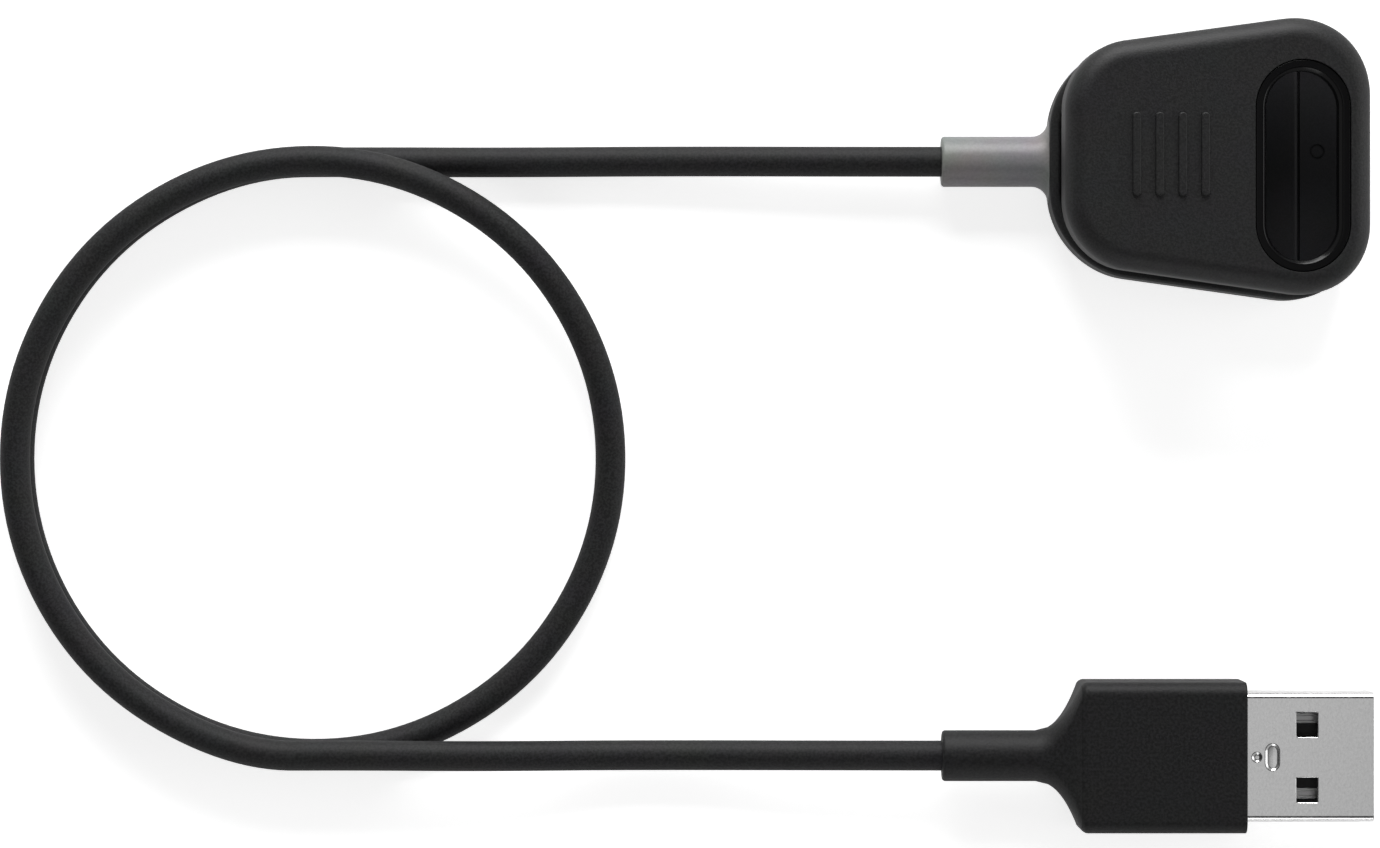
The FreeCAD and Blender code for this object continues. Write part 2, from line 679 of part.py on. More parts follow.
def bent_tube(points, radius):
    """A round tube along straight runs joined by tangent arcs, with its length and its bend radii."""
    edges = []
    bends = []
    last = points[0]
    length = 0.0
    for i in range(1, len(points) - 1):
        back = points[i - 1] - points[i]
        ahead = points[i + 1] - points[i]
        half_turn = (math.pi - back.getAngle(ahead)) / 2
        reach = BEND_SHARE * min(back.Length, ahead.Length)
        bend = reach / math.tan(half_turn)
        back.normalize()
        ahead.normalize()
        start = points[i] + back * reach
        end = points[i] + ahead * reach
        middle = points[i] + (back + ahead).normalize() * bend * (1 / math.cos(half_turn) - 1)
        edges.append(Part.LineSegment(last, start).toShape())
        edges.append(Part.Arc(start, middle, end).toShape())
        length += last.distanceToPoint(start) + 2 * half_turn * bend
        last = end
        bends.append(bend)
    edges.append(Part.LineSegment(last, points[-1]).toShape())
    length += last.distanceToPoint(points[-1])
    section = Part.Wire([Part.makeCircle(radius, points[0], points[1] - points[0])])
    return Part.Wire(edges).makePipeShell([section], True, True), length, bends


def cord():
    """The round jacket along its route."""
    tube, length, bends = bent_tube(cord_route(), CORD_R)
    print("cord length", round(length, 1), "bend radii", [round(bend, 1) for bend in bends])
    print("cord volume over section times length", round(tube.Volume / (math.pi * CORD_R**2 * length), 5))
    return tube


def plug_section(x, half_width, half_height, corner):
    """A rounded rectangle across the plug's axis."""
    corners = []
    for sign_y, sign_z in ((-1, -1), (1, -1), (1, 1), (-1, 1)):
        corners.append(V(x, PLUG_Y + sign_y * half_width, PLUG_Z + sign_z * half_height))
    return rounded_wire(corners, [corner] * 4)


def flare_section(share):
    """The boot's section along its flare, from the neck at 0 to the shoulder at 1."""
    growth = share**FLARE_POWER
    start = NECK_R + FLARE_LIP
    half_width = start + (PLUG_WIDTH / 2 - PLUG_SHOULDER - start) * growth
    half_height = start + (PLUG_HEIGHT / 2 - PLUG_SHOULDER / 2 - start) * growth
    corner = start - SAME_PLACE + (PLUG_EDGE_R - start) * growth
    return plug_section(NECK_END_X + FLARE_LENGTH * share, half_width, half_height, corner)


def plug_overmould():
    """The soft grip of the plug: round neck, flare and flat-sided body, hollow for the inner mould."""
    neck = rod(V(NECK_TIP_X, PLUG_Y, PLUG_Z), V(NECK_END_X + SEAT_CLEARANCE, PLUG_Y, PLUG_Z), NECK_R)
    rim = [e for e in neck.Edges if e.BoundBox.XMax < NECK_TIP_X + SAME_PLACE]
    neck = neck.makeFillet(RELIEF_TIP_R, rim)
    flare = Part.makeLoft([flare_section(i / (FLARE_STEPS - 1)) for i in range(FLARE_STEPS)], True, False)
    full = plug_section(PLUG_BACK_X + PLUG_SHOULDER, PLUG_WIDTH / 2, PLUG_HEIGHT / 2, PLUG_EDGE_R)
    shoulder = Part.makeLoft([flare_section(1.0), full], True, True)
    body = Part.Face(full).extrude(V(PLUG_BODY_LENGTH - PLUG_SHOULDER, 0, 0))
    front = [e for e in body.Edges if e.BoundBox.XMin > PLUG_FRONT_X - SAME_PLACE]
    body = body.makeFillet(PLUG_FRONT_EDGE_R, front)
    solid = neck.fuse([flare, shoulder, body])
    outside = V(NECK_TIP_X - CUT_PAST, PLUG_Y, PLUG_Z)
    inside = V(MOULD_TAIL_X + CUT_PAST, PLUG_Y, PLUG_Z)
    cord_bore = rod(outside, inside, CORD_R)
    return one_solid(solid.cut(mould_block()).cut(cord_bore).cut(shell_block(SHELL_TAIL_X, SHELL_MOUTH_X)))


def mould_block():
    """The space of the inner mould inside the soft grip."""
    front = PLUG_FRONT_X - PLUG_WALL
    half_y = PLUG_WIDTH / 2 - PLUG_WALL
    half_z = PLUG_HEIGHT / 2 - PLUG_WALL
    return box(
        (MOULD_TAIL_X, PLUG_Y - half_y, PLUG_Z - half_z), (front, PLUG_Y + half_y, PLUG_Z + half_z)
    )


def shell_block(start, end):
    """The steel shell's outside as a solid bar between two stations."""
    wire = plug_section(start, SHELL_WIDTH / 2, SHELL_HEIGHT / 2, SHELL_CORNER_R)
    return Part.Face(wire).extrude(V(end - start, 0, 0))


def plug_inner_mould():
    """The hard mould round the shell's rear, the cores and the crimp."""
    mould = mould_block().cut(shell_block(SHELL_TAIL_X, SHELL_MOUTH_X))
    mould = mould.cut(crimp_bar(CORD_R + CRIMP_WALL))
    for core in plug_cores().Solids:
        mould = mould.cut(core)
    for pin in plug_pins().Solids:
        mould = mould.cut(pin)
    return one_solid(mould)


def crimp_bar(radius):
    """A bar along the crimp."""
    return rod(V(MOULD_TAIL_X, PLUG_Y, PLUG_Z), V(CORD_PLUG_END_X, PLUG_Y, PLUG_Z), radius)


def plug_crimp():
    """The metal ferrule crimped on the cord's end."""
    return one_solid(crimp_bar(CORD_R + CRIMP_WALL).cut(crimp_bar(CORD_R)))


def plug_shell():
    """The folded steel shell with its latch windows and two pressed marks."""
    outer = shell_block(SHELL_TAIL_X, SHELL_MOUTH_X)
    wire = plug_section(
        SHELL_TAIL_X - CUT_PAST,
        SHELL_WIDTH / 2 - SHELL_WALL,
        SHELL_HEIGHT / 2 - SHELL_WALL,
        SHELL_CORNER_R - SHELL_WALL,
    )
    shell = outer.cut(Part.Face(wire).extrude(V(SHELL_MOUTH_X - SHELL_TAIL_X + 2 * CUT_PAST, 0, 0)))
    latch_front = SHELL_MOUTH_X - LATCH_FROM_MOUTH
    for sign in (-1, 1):
        y = PLUG_Y + sign * LATCH_SPACING / 2
        shell = shell.cut(box(
            (latch_front - LATCH_LENGTH, y - LATCH_WIDTH / 2, PLUG_Z - SHELL_HEIGHT),
            (latch_front, y + LATCH_WIDTH / 2, PLUG_Z + SHELL_HEIGHT),
        ))
    top = PLUG_Z + SHELL_HEIGHT / 2
    floor = top - MARK_PRESS_DEPTH
    depth = MARK_PRESS_DEPTH + CUT_PAST
    dimple = Part.makeCylinder(DIMPLE_R, depth, V(PLUG_FRONT_X + DIMPLE_FROM_BODY, PLUG_Y, floor))
    pad_x = PLUG_FRONT_X + PAD_FROM_BODY
    pad = prism(slot_wire(pad_x, PLUG_Y, PAD_WIDTH, PAD_LENGTH, PAD_WIDTH / 2, floor), depth)
    for mark in (dimple, pad):
        shell = shell.cut(round_edges_at(mark, floor, MARK_PRESS_EDGE_R))
    return one_solid(shell)


def pin_y(index):
    """The place of one plug contact across the tongue."""
    return (-PIN_OUTER_Y, -PIN_INNER_Y, PIN_INNER_Y, PIN_OUTER_Y)[index]


def tongue_top():
    """The height of the tongue's contact face."""
    return PLUG_Z - SHELL_HEIGHT / 2 + SHELL_WALL + TONGUE_THICKNESS


def insulator_tail_x():
    """The rear face of the insulator inside the shell."""
    return SHELL_TAIL_X + INSULATOR_REAR_INSET


def plug_pins():
    """The four contacts of the plug, from the tongue's tip to their solder tails."""
    pins = []
    for index in range(CORE_COUNT):
        outer = abs(pin_y(index)) > PIN_INNER_Y
        tip = SHELL_MOUTH_X - TONGUE_RECESS - (PIN_OUTER_FROM_MOUTH if outer else PIN_INNER_FROM_MOUTH)
        y = PLUG_Y + pin_y(index)
        top = tongue_top() + PIN_PROUD
        pins.append(box(
            (SHELL_TAIL_X - PIN_TAIL, y - PIN_WIDTH / 2, top - PIN_THICKNESS), (tip, y + PIN_WIDTH / 2, top)
        ))
    return Part.makeCompound(pins)


def plug_insulator():
    """The black tongue and the base that holds it in the shell."""
    half_y = SHELL_WIDTH / 2 - SHELL_WALL - INSULATOR_SIDE_GAP
    floor = PLUG_Z - SHELL_HEIGHT / 2 + SHELL_WALL + INSULATOR_SIDE_GAP
    ceiling = PLUG_Z + SHELL_HEIGHT / 2 - SHELL_WALL - INSULATOR_SIDE_GAP
    tongue = box(
        (insulator_tail_x(), PLUG_Y - half_y, floor),
        (SHELL_MOUTH_X - TONGUE_RECESS, PLUG_Y + half_y, tongue_top()),
    )
    base = box(
        (insulator_tail_x(), PLUG_Y - half_y, floor),
        (insulator_tail_x() + INSULATOR_BASE_LENGTH, PLUG_Y + half_y, ceiling),
    )
    corners = [e for e in base.Edges if e.BoundBox.YLength < SAME_PLACE and e.BoundBox.ZLength < SAME_PLACE]
    base = base.makeFillet(SHELL_CORNER_R - SHELL_WALL, corners)
    sides = [e for e in tongue.Edges if e.BoundBox.YLength < SAME_PLACE and e.BoundBox.ZLength < SAME_PLACE]
    tongue = tongue.makeFillet(SHELL_CORNER_R - SHELL_WALL, sides)
    insulator = base.fuse(tongue)
    for pin in plug_pins().Solids:
        insulator = insulator.cut(pin)
    return one_solid(insulator)


def plug_cores():
    """The cable cores from the cord's end to the contacts' tails, as separate solids."""
    pin_end = SHELL_TAIL_X - PIN_TAIL
    half = PLUG_WIDTH / 2
    between = box((CORD_PLUG_END_X, PLUG_Y - half, 0), (pin_end, PLUG_Y + half, PLUG_HEIGHT))
    cores = []
    for index in range(CORE_COUNT):
        start = V(CORD_PLUG_END_X, PLUG_Y + core_y(index), PLUG_Z)
        end = V(pin_end, PLUG_Y + pin_y(index), tongue_top() + PIN_PROUD - PIN_THICKNESS / 2)
        lead = (end - start).normalize() * (2 * CORE_R)
        cores.append(rod(start - lead, end + lead, CORE_R).common(between))
    return Part.makeCompound(cores)


def main():
    os.makedirs("parts", exist_ok=True)
    save("lower_arm_cover", lower_arm_cover())
    save("lower_arm_frame", lower_arm_frame())
    save("contact_block", contact_block())
    save("contact_barrels", contact_barrels())
    for index, side in enumerate(("right", "middle", "left")):
        save("contact_plunger_" + side, contact_plunger(index))
        save("contact_spring_" + side, contact_spring(index))
    save("circuit_board", circuit_board())
    save("board_cores", board_cores())
    save("strain_relief", strain_relief())
    save("hinge_pin", hinge_pin())
    save("torsion_spring", torsion_spring())
    save("upper_arm_cover", upper_arm_cover())
    save("upper_arm_frame", upper_arm_frame())
    save("window_bezel", window_bezel())
    save("cord", cord())
    save("plug_overmould", plug_overmould())
    save("plug_inner_mould", plug_inner_mould())
    save("plug_crimp", plug_crimp())
    save("plug_cores", plug_cores())
    save("plug_shell", plug_shell())
    save("plug_insulator", plug_insulator())
    save("plug_pins", plug_pins())


main()
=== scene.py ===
"""Clip-on charging cable: a sprung clip with three contacts, a round cord in one loop and a USB-A plug."""

import json
import math

import bmesh
import bpy
from bpy.props import FloatProperty, FloatVectorProperty, IntProperty, PointerProperty
from bpy.types import Operator, Panel, PropertyGroup
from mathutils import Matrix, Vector

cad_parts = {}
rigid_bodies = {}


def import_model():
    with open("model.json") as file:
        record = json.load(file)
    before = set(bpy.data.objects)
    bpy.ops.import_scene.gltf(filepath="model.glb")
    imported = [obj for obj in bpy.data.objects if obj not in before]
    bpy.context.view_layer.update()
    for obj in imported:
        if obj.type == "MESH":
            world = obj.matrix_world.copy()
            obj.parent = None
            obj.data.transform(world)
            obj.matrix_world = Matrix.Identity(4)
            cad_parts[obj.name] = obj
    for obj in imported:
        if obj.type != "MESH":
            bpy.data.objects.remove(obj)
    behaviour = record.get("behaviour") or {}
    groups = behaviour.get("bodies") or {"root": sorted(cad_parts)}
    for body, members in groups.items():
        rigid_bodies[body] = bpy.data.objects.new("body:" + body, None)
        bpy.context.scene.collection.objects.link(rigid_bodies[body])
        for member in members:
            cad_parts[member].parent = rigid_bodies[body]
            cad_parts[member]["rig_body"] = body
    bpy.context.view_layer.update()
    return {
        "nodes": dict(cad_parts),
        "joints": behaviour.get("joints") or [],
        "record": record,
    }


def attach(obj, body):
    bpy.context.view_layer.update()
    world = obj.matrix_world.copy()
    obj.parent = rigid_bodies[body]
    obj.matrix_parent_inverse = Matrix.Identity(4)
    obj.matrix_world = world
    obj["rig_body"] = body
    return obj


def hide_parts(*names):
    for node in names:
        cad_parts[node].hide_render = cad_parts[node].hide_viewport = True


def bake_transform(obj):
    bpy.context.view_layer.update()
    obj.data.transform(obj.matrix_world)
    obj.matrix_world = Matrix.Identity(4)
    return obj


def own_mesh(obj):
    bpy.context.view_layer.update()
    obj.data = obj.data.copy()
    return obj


bl_info = {
    "name": "Clip charging cable",
    "version": (1, 0, 0),
    "blender": (4, 5, 0),
    "location": "3D View > Sidebar > Cable",
    "description": "Builds a clip-on charging cable around its loaded frame",
    "category": "Object",
}

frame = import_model()

MM = 0.001
LOWER = "lower_arm"
UPPER = "upper_arm"

# The upper arm is modelled level and then tilted to its rest about the hinge pin.
PIVOT = Vector((-2.5 * MM, 0, 8.4 * MM))
REST_TILT = math.radians(4.0)
UPPER_BOTTOM = 11.2 * MM

# The cord leaves the clip here. Its route is the frame's own, in millimetres: to the loop, round it, on.
CORD_EXIT = Vector((-24.3 * MM, 0, 2.75 * MM))
CORD_TO_LOOP = [
    (-11.25, 0.0, 2.75),
    (-30.5, 0.0, 2.75),
    (-50.0, 0.1, 1.75),
    (-65.5, 0.0, 1.42),
    (-77.0, 0.05, 1.43),
]
LOOP_CENTRE = (-82.9, -27.7)
LOOP_RADIUS = 27.7
LOOP_CORNERS_PER_TURN = 12
LOOP_FLOOR = 1.42
LOOP_LAP = 3.0
# How much of the lap's rise the cord has made at each corner of its loop.
LOOP_LIFTS = [0.0] * 9 + [0.32, 0.82] + [1.0] * 7
CORD_TO_PLUG = [
    (-79.0, -55.35, 4.42),
    (-67.0, -55.45, 4.4),
    (-53.0, -55.5, 1.6),
    (-30.5, -55.4, 4.0),
    (-7.2, -55.4, 4.0),
]
PLUG_AXIS = Vector((0, -55.4 * MM, 4.0 * MM))
PLUG_FRONT = 3.75 * MM
CONTACT_TOP = 4.01 * MM

# Where the cord enters a sleeve: the gap round it and the socket's depth.
SOCKET_GAP = 0.03 * MM
SOCKET_DEPTH = 0.6 * MM
# The grey sleeve: rings in its flare, its end inside the clip's wall, and the roll at its tip.
RELIEF_STEPS = 8
RELIEF_ROOT = 0.3 * MM
RELIEF_ROLL = 0.28 * MM
# The window: the roll on the cap's edge, the ring's foot above the cap's rim, its gap and its roll.
WINDOW_ROLL = 0.05 * MM
BEZEL_FOOT = 1.0 * MM
BEZEL_GAP = 0.05 * MM
BEZEL_ROLL = 0.1 * MM
# A rib's corner radius as a share of its width.
RIB_CORNER = 0.45
# The plug's grip: steps round each corner, rings in its flare, how round the flare is, the neck's roll.
GRIP_STEPS = 15
FLARE_CUTS = 15
FLARE_BEND = 2.2
NECK_ROLL = 0.3 * MM
# The shell: its latch windows' corners, its rolls, and the room left to its two ends when edges are picked.
LATCH_CORNER = 0.1 * MM
MARK_FLOOR_ROLL = 0.08 * MM
STEEL_ROLL = 0.09 * MM
MOUTH_ROLL = 0.12 * MM
END_ROOM = 0.1 * MM
# A contact strip's channel: the side left beside it and its depth, as shares of width and thickness.
CHANNEL_SIDE = 0.3
CHANNEL_DEPTH = 0.6

# How a face lies, by its normal's share along an axis: dead level, flat, sloping, standing or upright.
LEVEL = 0.99
FLAT = 0.9
SLOPING = 0.85
STANDING = 0.5
UPRIGHT = 0.1
# Steps round a corner that shows, and the share that keeps a round end's last edge from closing up.
CORNER_STEPS = 20
ALMOST = 0.999
# Corners closer than this are welded, and cutting tools reach this far past what they cut.
WELD = 0.0005 * MM
SPARE = 1 * MM


def linear(hex_colour):
    """An sRGB hex colour as the linear values that shaders take."""
    channels = []
    for place in (0, 2, 4):
        value = int(hex_colour[place : place + 2], 16) / 255
        channels.append(value / 12.92 if value <= 0.04045 else ((value + 0.055) / 1.055) ** 2.4)
    return (*channels, 1.0)


def length(name, description, default):
    """A length property in metres."""
    return FloatProperty(name=name, description=description, default=default, min=0, unit="LENGTH", precision=5)


def angle(name, description, default):
    """An angle property."""
    return FloatProperty(name=name, description=description, default=default, unit="ROTATION")


def colour(name, description, hex_colour):
    """A colour property, given as sRGB hex."""
    return FloatVectorProperty(
        name=name, description=description, default=linear(hex_colour), size=4, min=0, max=1, subtype="COLOR"
    )


class ClipSizes(PropertyGroup):
    """Sizes of the clip's two arms and its window."""

    span: length("Length", "Clip length along the cord", 28.7 * MM)
    width: length("Width", "Clip width at mid length", 23.9 * MM)
    taper: angle("Side taper", "How far each side leans outward towards the jaw", math.radians(8.0))
    lower_tail: length("Lower tail corners", "Lower arm's corner radius at the cord's end", 8.2 * MM)
    upper_tail: length("Upper tail corners", "Upper arm's corner radius at the cord's end", 6.6 * MM)
    jaw_left: length("Left jaw corner", "Corner radius at the jaw's end on the left", 7.4 * MM)
    jaw_right: length("Right jaw corner", "Corner radius at the jaw's end on the right", 6.7 * MM)
    lower_height: length("Lower height", "Height of the lower arm's tub", 5.6 * MM)
    upper_height: length("Upper height", "Height of the upper arm's cap", 4.2 * MM)
    upper_setback: length("Upper setback", "How far the upper arm stands back all round", 0.3 * MM)
    wall: length("Wall", "Wall of the soft covers", 1.0 * MM)
    floor: length("Floor", "Thickness of the covers' flat faces", 0.9 * MM)
    foot_edge: length("Foot edge", "Roll along the lower arm's bottom edge", 1.5 * MM)
    top_edge: length("Top edge", "Roll along the upper arm's top edge", 1.9 * MM)
    rim_edge: length("Rim edge", "Roll along the two rims that face each other", 0.35 * MM)
    window_x: length("Window place", "Window centre along the clip", 7.55 * MM)
    window_y: FloatProperty(
        name="Window offset", description="Window centre across the clip", default=-1.0 * MM, unit="LENGTH"
    )
    window_width: length("Window width", "Clear width inside the bezel", 6.7 * MM)
    window_length: length("Window length", "Clear length inside the bezel", 17.3 * MM)
    bezel_ring: length("Bezel ring", "Width of the glossy ring", 1.05 * MM)
    bezel_bevel: length("Bezel bevel", "Size of the ring's inner bevel", 0.3 * MM)
    bezel_below: length("Bezel below top", "How far the ring lies below the soft cover", 0.1 * MM)
    bezel_lip: length("Bezel lip", "Depth of the ring's full-width lip", 1.5 * MM)
    bezel_skirt: length("Bezel skirt", "Wall of the ring below its lip", 0.4 * MM)


class RibSizes(PropertyGroup):
    """Sizes of the grip ribs on the upper arm."""

    count: IntProperty(name="Ribs", description="How many grip ribs", default=4, min=1)
    pitch: length("Pitch", "Distance from rib to rib", 2.1 * MM)
    span: length("Length", "Length of a rib across the clip", 7.6 * MM)
    width: length("Width", "Width of a rib", 0.8 * MM)
    height: length("Height", "How far a rib stands up", 0.28 * MM)
    edge: length("Edge", "Roll along a rib's top edge", 0.15 * MM)
    centre_x: FloatProperty(
        name="Place", description="Middle of the ribs along the clip", default=-4.6 * MM, unit="LENGTH"
    )


class CordSizes(PropertyGroup):
    """Sizes of the cord and its strain relief."""

    diameter: length("Cord diameter", "Outside diameter of the jacket", 2.8 * MM)
    span: length("Cord length", "Length of the jacket from the clip's wall to the plug's crimp", 409.5 * MM)
    relief_radius: length("Relief radius", "Radius of the grey sleeve", 2.35 * MM)
    relief_length: length("Relief length", "Length of the grey sleeve outside the clip", 9.95 * MM)
    relief_flare: length("Relief flare", "How far the sleeve flares where it meets the clip", 1.5 * MM)


class PlugSizes(PropertyGroup):
    """Sizes of the plug's grip and its steel shell."""

    body_length: length("Grip length", "Length of the straight grip", 15.15 * MM)
    width: length("Grip width", "Width of the grip", 14.0 * MM)
    height: length("Grip height", "Height of the grip", 8.0 * MM)
    edge: length("Grip edge", "Roll along the grip's long edges", 1.2 * MM)
    front_edge: length("Front edge", "Roll round the grip's crisp front", 0.12 * MM)
    shoulder: length("Shoulder", "Roll where the flare meets the grip", 0.45 * MM)
    neck_radius: length("Neck radius", "Radius of the grip's round neck", 2.37 * MM)
    neck_length: length("Neck length", "Length of the round neck", 8.7 * MM)
    flare_length: length("Flare length", "Length of the flare from neck to grip", 4.2 * MM)
    shell_width: length("Shell width", "Width of the steel shell", 12.0 * MM)
    shell_height: length("Shell height", "Height of the steel shell", 4.5 * MM)
    shell_wall: length("Shell wall", "Thickness of the steel", 0.3 * MM)
    shell_shows: length("Shell length", "How far the shell stands out of the grip", 11.95 * MM)
    shell_buried: length("Shell root", "How far the shell reaches into the grip", 6.9 * MM)
    shell_corner: length("Shell corners", "Outside bend along the shell's long edges", 0.6 * MM)
    latch_width: length("Latch width", "Latch window across the shell", 2.3 * MM)
    latch_length: length("Latch length", "Latch window along the shell", 2.0 * MM)
    latch_spacing: length("Latch spacing", "Distance between the two latch windows", 6.06 * MM)
    latch_place: length("Latch place", "From the shell's mouth to the latch windows", 5.25 * MM)
    mark_depth: length("Mark depth", "How deep the dimple and the oval are pressed in", 0.16 * MM)
    mark_slope: length("Mark slope", "Width of the slope down into the dimple and the oval", 0.18 * MM)
    dimple: length("Dimple", "Diameter of the round dimple", 0.9 * MM)
    dimple_place: length("Dimple place", "From the grip to the dimple", 1.05 * MM)
    oval_width: length("Oval width", "Pressed oval along the shell", 1.3 * MM)
    oval_length: length("Oval length", "Pressed oval across the shell", 2.5 * MM)
    oval_place: length("Oval place", "From the grip to the oval", 2.5 * MM)
    contact_width: length("Contact width", "Width of a contact strip", 1.0 * MM)
    contact_thickness: length("Contact thickness", "Thickness of a contact strip", 0.25 * MM)
    contact_tail: length("Contact tail", "How far the strips pass the shell's root", 1.2 * MM)
    contact_outer: length("Outer contacts", "Outer strips from the plug's middle", 3.5 * MM)
    contact_inner: length("Inner contacts", "Inner strips from the plug's middle", 1.0 * MM)
    contact_outer_tip: length("Outer tips", "From the shell's mouth to the outer strips' tips", 2.0 * MM)
    contact_inner_back: length("Inner setback", "How far the inner tips stand behind the outer ones", 1.0 * MM)


class CableColours(PropertyGroup):
    """Colours of the surfaces that show."""

    soft_black: colour("Soft cover", "Soft-touch rubber of the clip", "1F1F20")
    gloss_black: colour("Hard parts", "Polished plastic of the frames and bezel", "070708")
    jacket: colour("Cord", "Matte jacket of the cord", "242425")
    grip: colour("Plug grip", "Soft grip of the plug", "181819")
    relief: colour("Strain relief", "Grey sleeve at the clip", "8E8E8E")
    steel: colour("Shell", "Steel of the plug's shell", "F4F4F4")
    floor: colour("Floor", "Floor and backdrop", "F4F4F4")


# ---------------------------------------------------------------- materials


def add_node(tree, kind, settings=None, values=None, links=None):
    """Adds one shader node with its settings, its input values and its links from earlier nodes."""
    node = tree.nodes.new(kind)
    for name, value in (settings or {}).items():
        setattr(node, name, value)
    for name, value in (values or {}).items():
        node.inputs[name].default_value = value
    for name, (source, output) in (links or {}).items():
        tree.links.new(source.outputs[output], node.inputs[name])
    return node


def new_material(name):
    """An empty node material: itself, its tree, its output node and its object coordinates."""
    material = bpy.data.materials.new(name)
    material.use_nodes = True
    tree = material.node_tree
    tree.nodes.clear()
    output = add_node(tree, "ShaderNodeOutputMaterial")
    place = add_node(tree, "ShaderNodeTexCoord")
    return material, tree, output, (place, "Object")


def shade(base, amount):
    """A colour made lighter or darker by a factor."""
    return (*[min(1.0, c * amount) for c in base[:3]], 1.0)


def noise(tree, place, grain, detail, roughness=0.5):
    """Fractal noise with grains of one size."""
    values = {"Scale": 1 / grain, "Detail": detail, "Roughness": roughness}
    return add_node(tree, "ShaderNodeTexNoise", values=values, links={"Vector": place})


def ramp(tree, source, low, high, places=(0.0, 1.0)):
    """A colour ramp between two colours."""
    node = add_node(tree, "ShaderNodeValToRGB", links={"Fac": source})
    for element, level, tone in zip(node.color_ramp.elements, places, (low, high)):
        element.position = level
        element.color = tone
    return node


def combine(tree, operation, first, second):
    """A math node on one link and either a second link or a number."""
    if isinstance(second, tuple):
        links, values = {0: first, 1: second}, {}
    else:
        links, values = {0: first}, {1: second}
    return add_node(tree, "ShaderNodeMath", {"operation": operation}, values, links)


def coat(tree, output, tint, height, gloss, bump, look):
    """Ends a finish: a gloss that varies, a fine relief, and the surface they belong to."""
    sheen = add_node(
        tree, "ShaderNodeMapRange", values={"To Min": gloss[0], "To Max": gloss[1]}, links={"Value": height}
    )
    relief = add_node(
        tree, "ShaderNodeBump", values={"Strength": bump[0], "Distance": bump[1]}, links={"Height": height}
    )
    links = {"Base Color": tint, "Roughness": (sheen, "Result"), "Normal": (relief, "Normal")}
    surface = add_node(tree, "ShaderNodeBsdfPrincipled", values=look, links=links)
    tree.links.new(surface.outputs["BSDF"], output.inputs["Surface"])


def grained(name, base, grain, roughness, depth, contrast, specular=0.5):
    """A moulded rubber or plastic: fine pits and grains, faint cloudy tone, and matching bump."""
    material, tree, output, place = new_material(name)
    fine = noise(tree, place, grain, 2.0, 0.6)
    cloud = noise(tree, place, 4 * MM, 3.0)
    speck = ramp(tree, (fine, "Fac"), shade(base, 1 - contrast), shade(base, 1 + contrast), (0.4, 0.6))
    # Sockets of the mix node's colour side, which has no names of its own.
    factor, first, second, result = 0, 6, 7, 2
    tone = add_node(
        tree,
        "ShaderNodeMix",
        settings={"data_type": "RGBA", "blend_type": "MULTIPLY"},
        values={factor: 0.25},
        links={first: (speck, "Color"), second: (cloud, "Color")},
    )
    gloss = (roughness - 0.06, roughness + 0.06)
    coat(tree, output, (tone, result), (fine, "Fac"), gloss, (1.0, depth), {"Specular IOR Level": specular})
    return material


def polished(name, base, roughness, specular):
    """A polished hard plastic: deep colour, with faint fine wear in the gloss."""
    material, tree, output, place = new_material(name)
    rub = noise(tree, place, 0.3 * MM, 4.0, 0.7)
    tint = ramp(tree, (rub, "Fac"), shade(base, 0.85), shade(base, 1.2))
    gloss = (roughness * 0.7, roughness * 1.4)
    coat(
        tree, output, (tint, "Color"), (rub, "Fac"), gloss, (0.4, 0.002 * MM), {"Specular IOR Level": specular}
    )
    return material


def metal(name, base, roughness, grain, stretch=(1, 1, 1), contrast=0.12, depth=0.003 * MM):
    """A bare metal: fine grain in tone and gloss, drawn out along the way it was worked."""
    material, tree, output, place = new_material(name)
    drawn = add_node(tree, "ShaderNodeMapping", values={"Scale": stretch}, links={"Vector": place})
    fine = noise(tree, (drawn, "Vector"), grain, 3.0, 0.65)
    tint = ramp(tree, (fine, "Fac"), shade(base, 1 - contrast), shade(base, 1 + contrast), (0.3, 0.7))
    gloss = (roughness - 0.07, roughness + 0.07)
    coat(tree, output, (tint, "Color"), (fine, "Fac"), gloss, (0.6, depth), {"Metallic": 1.0})
    return material


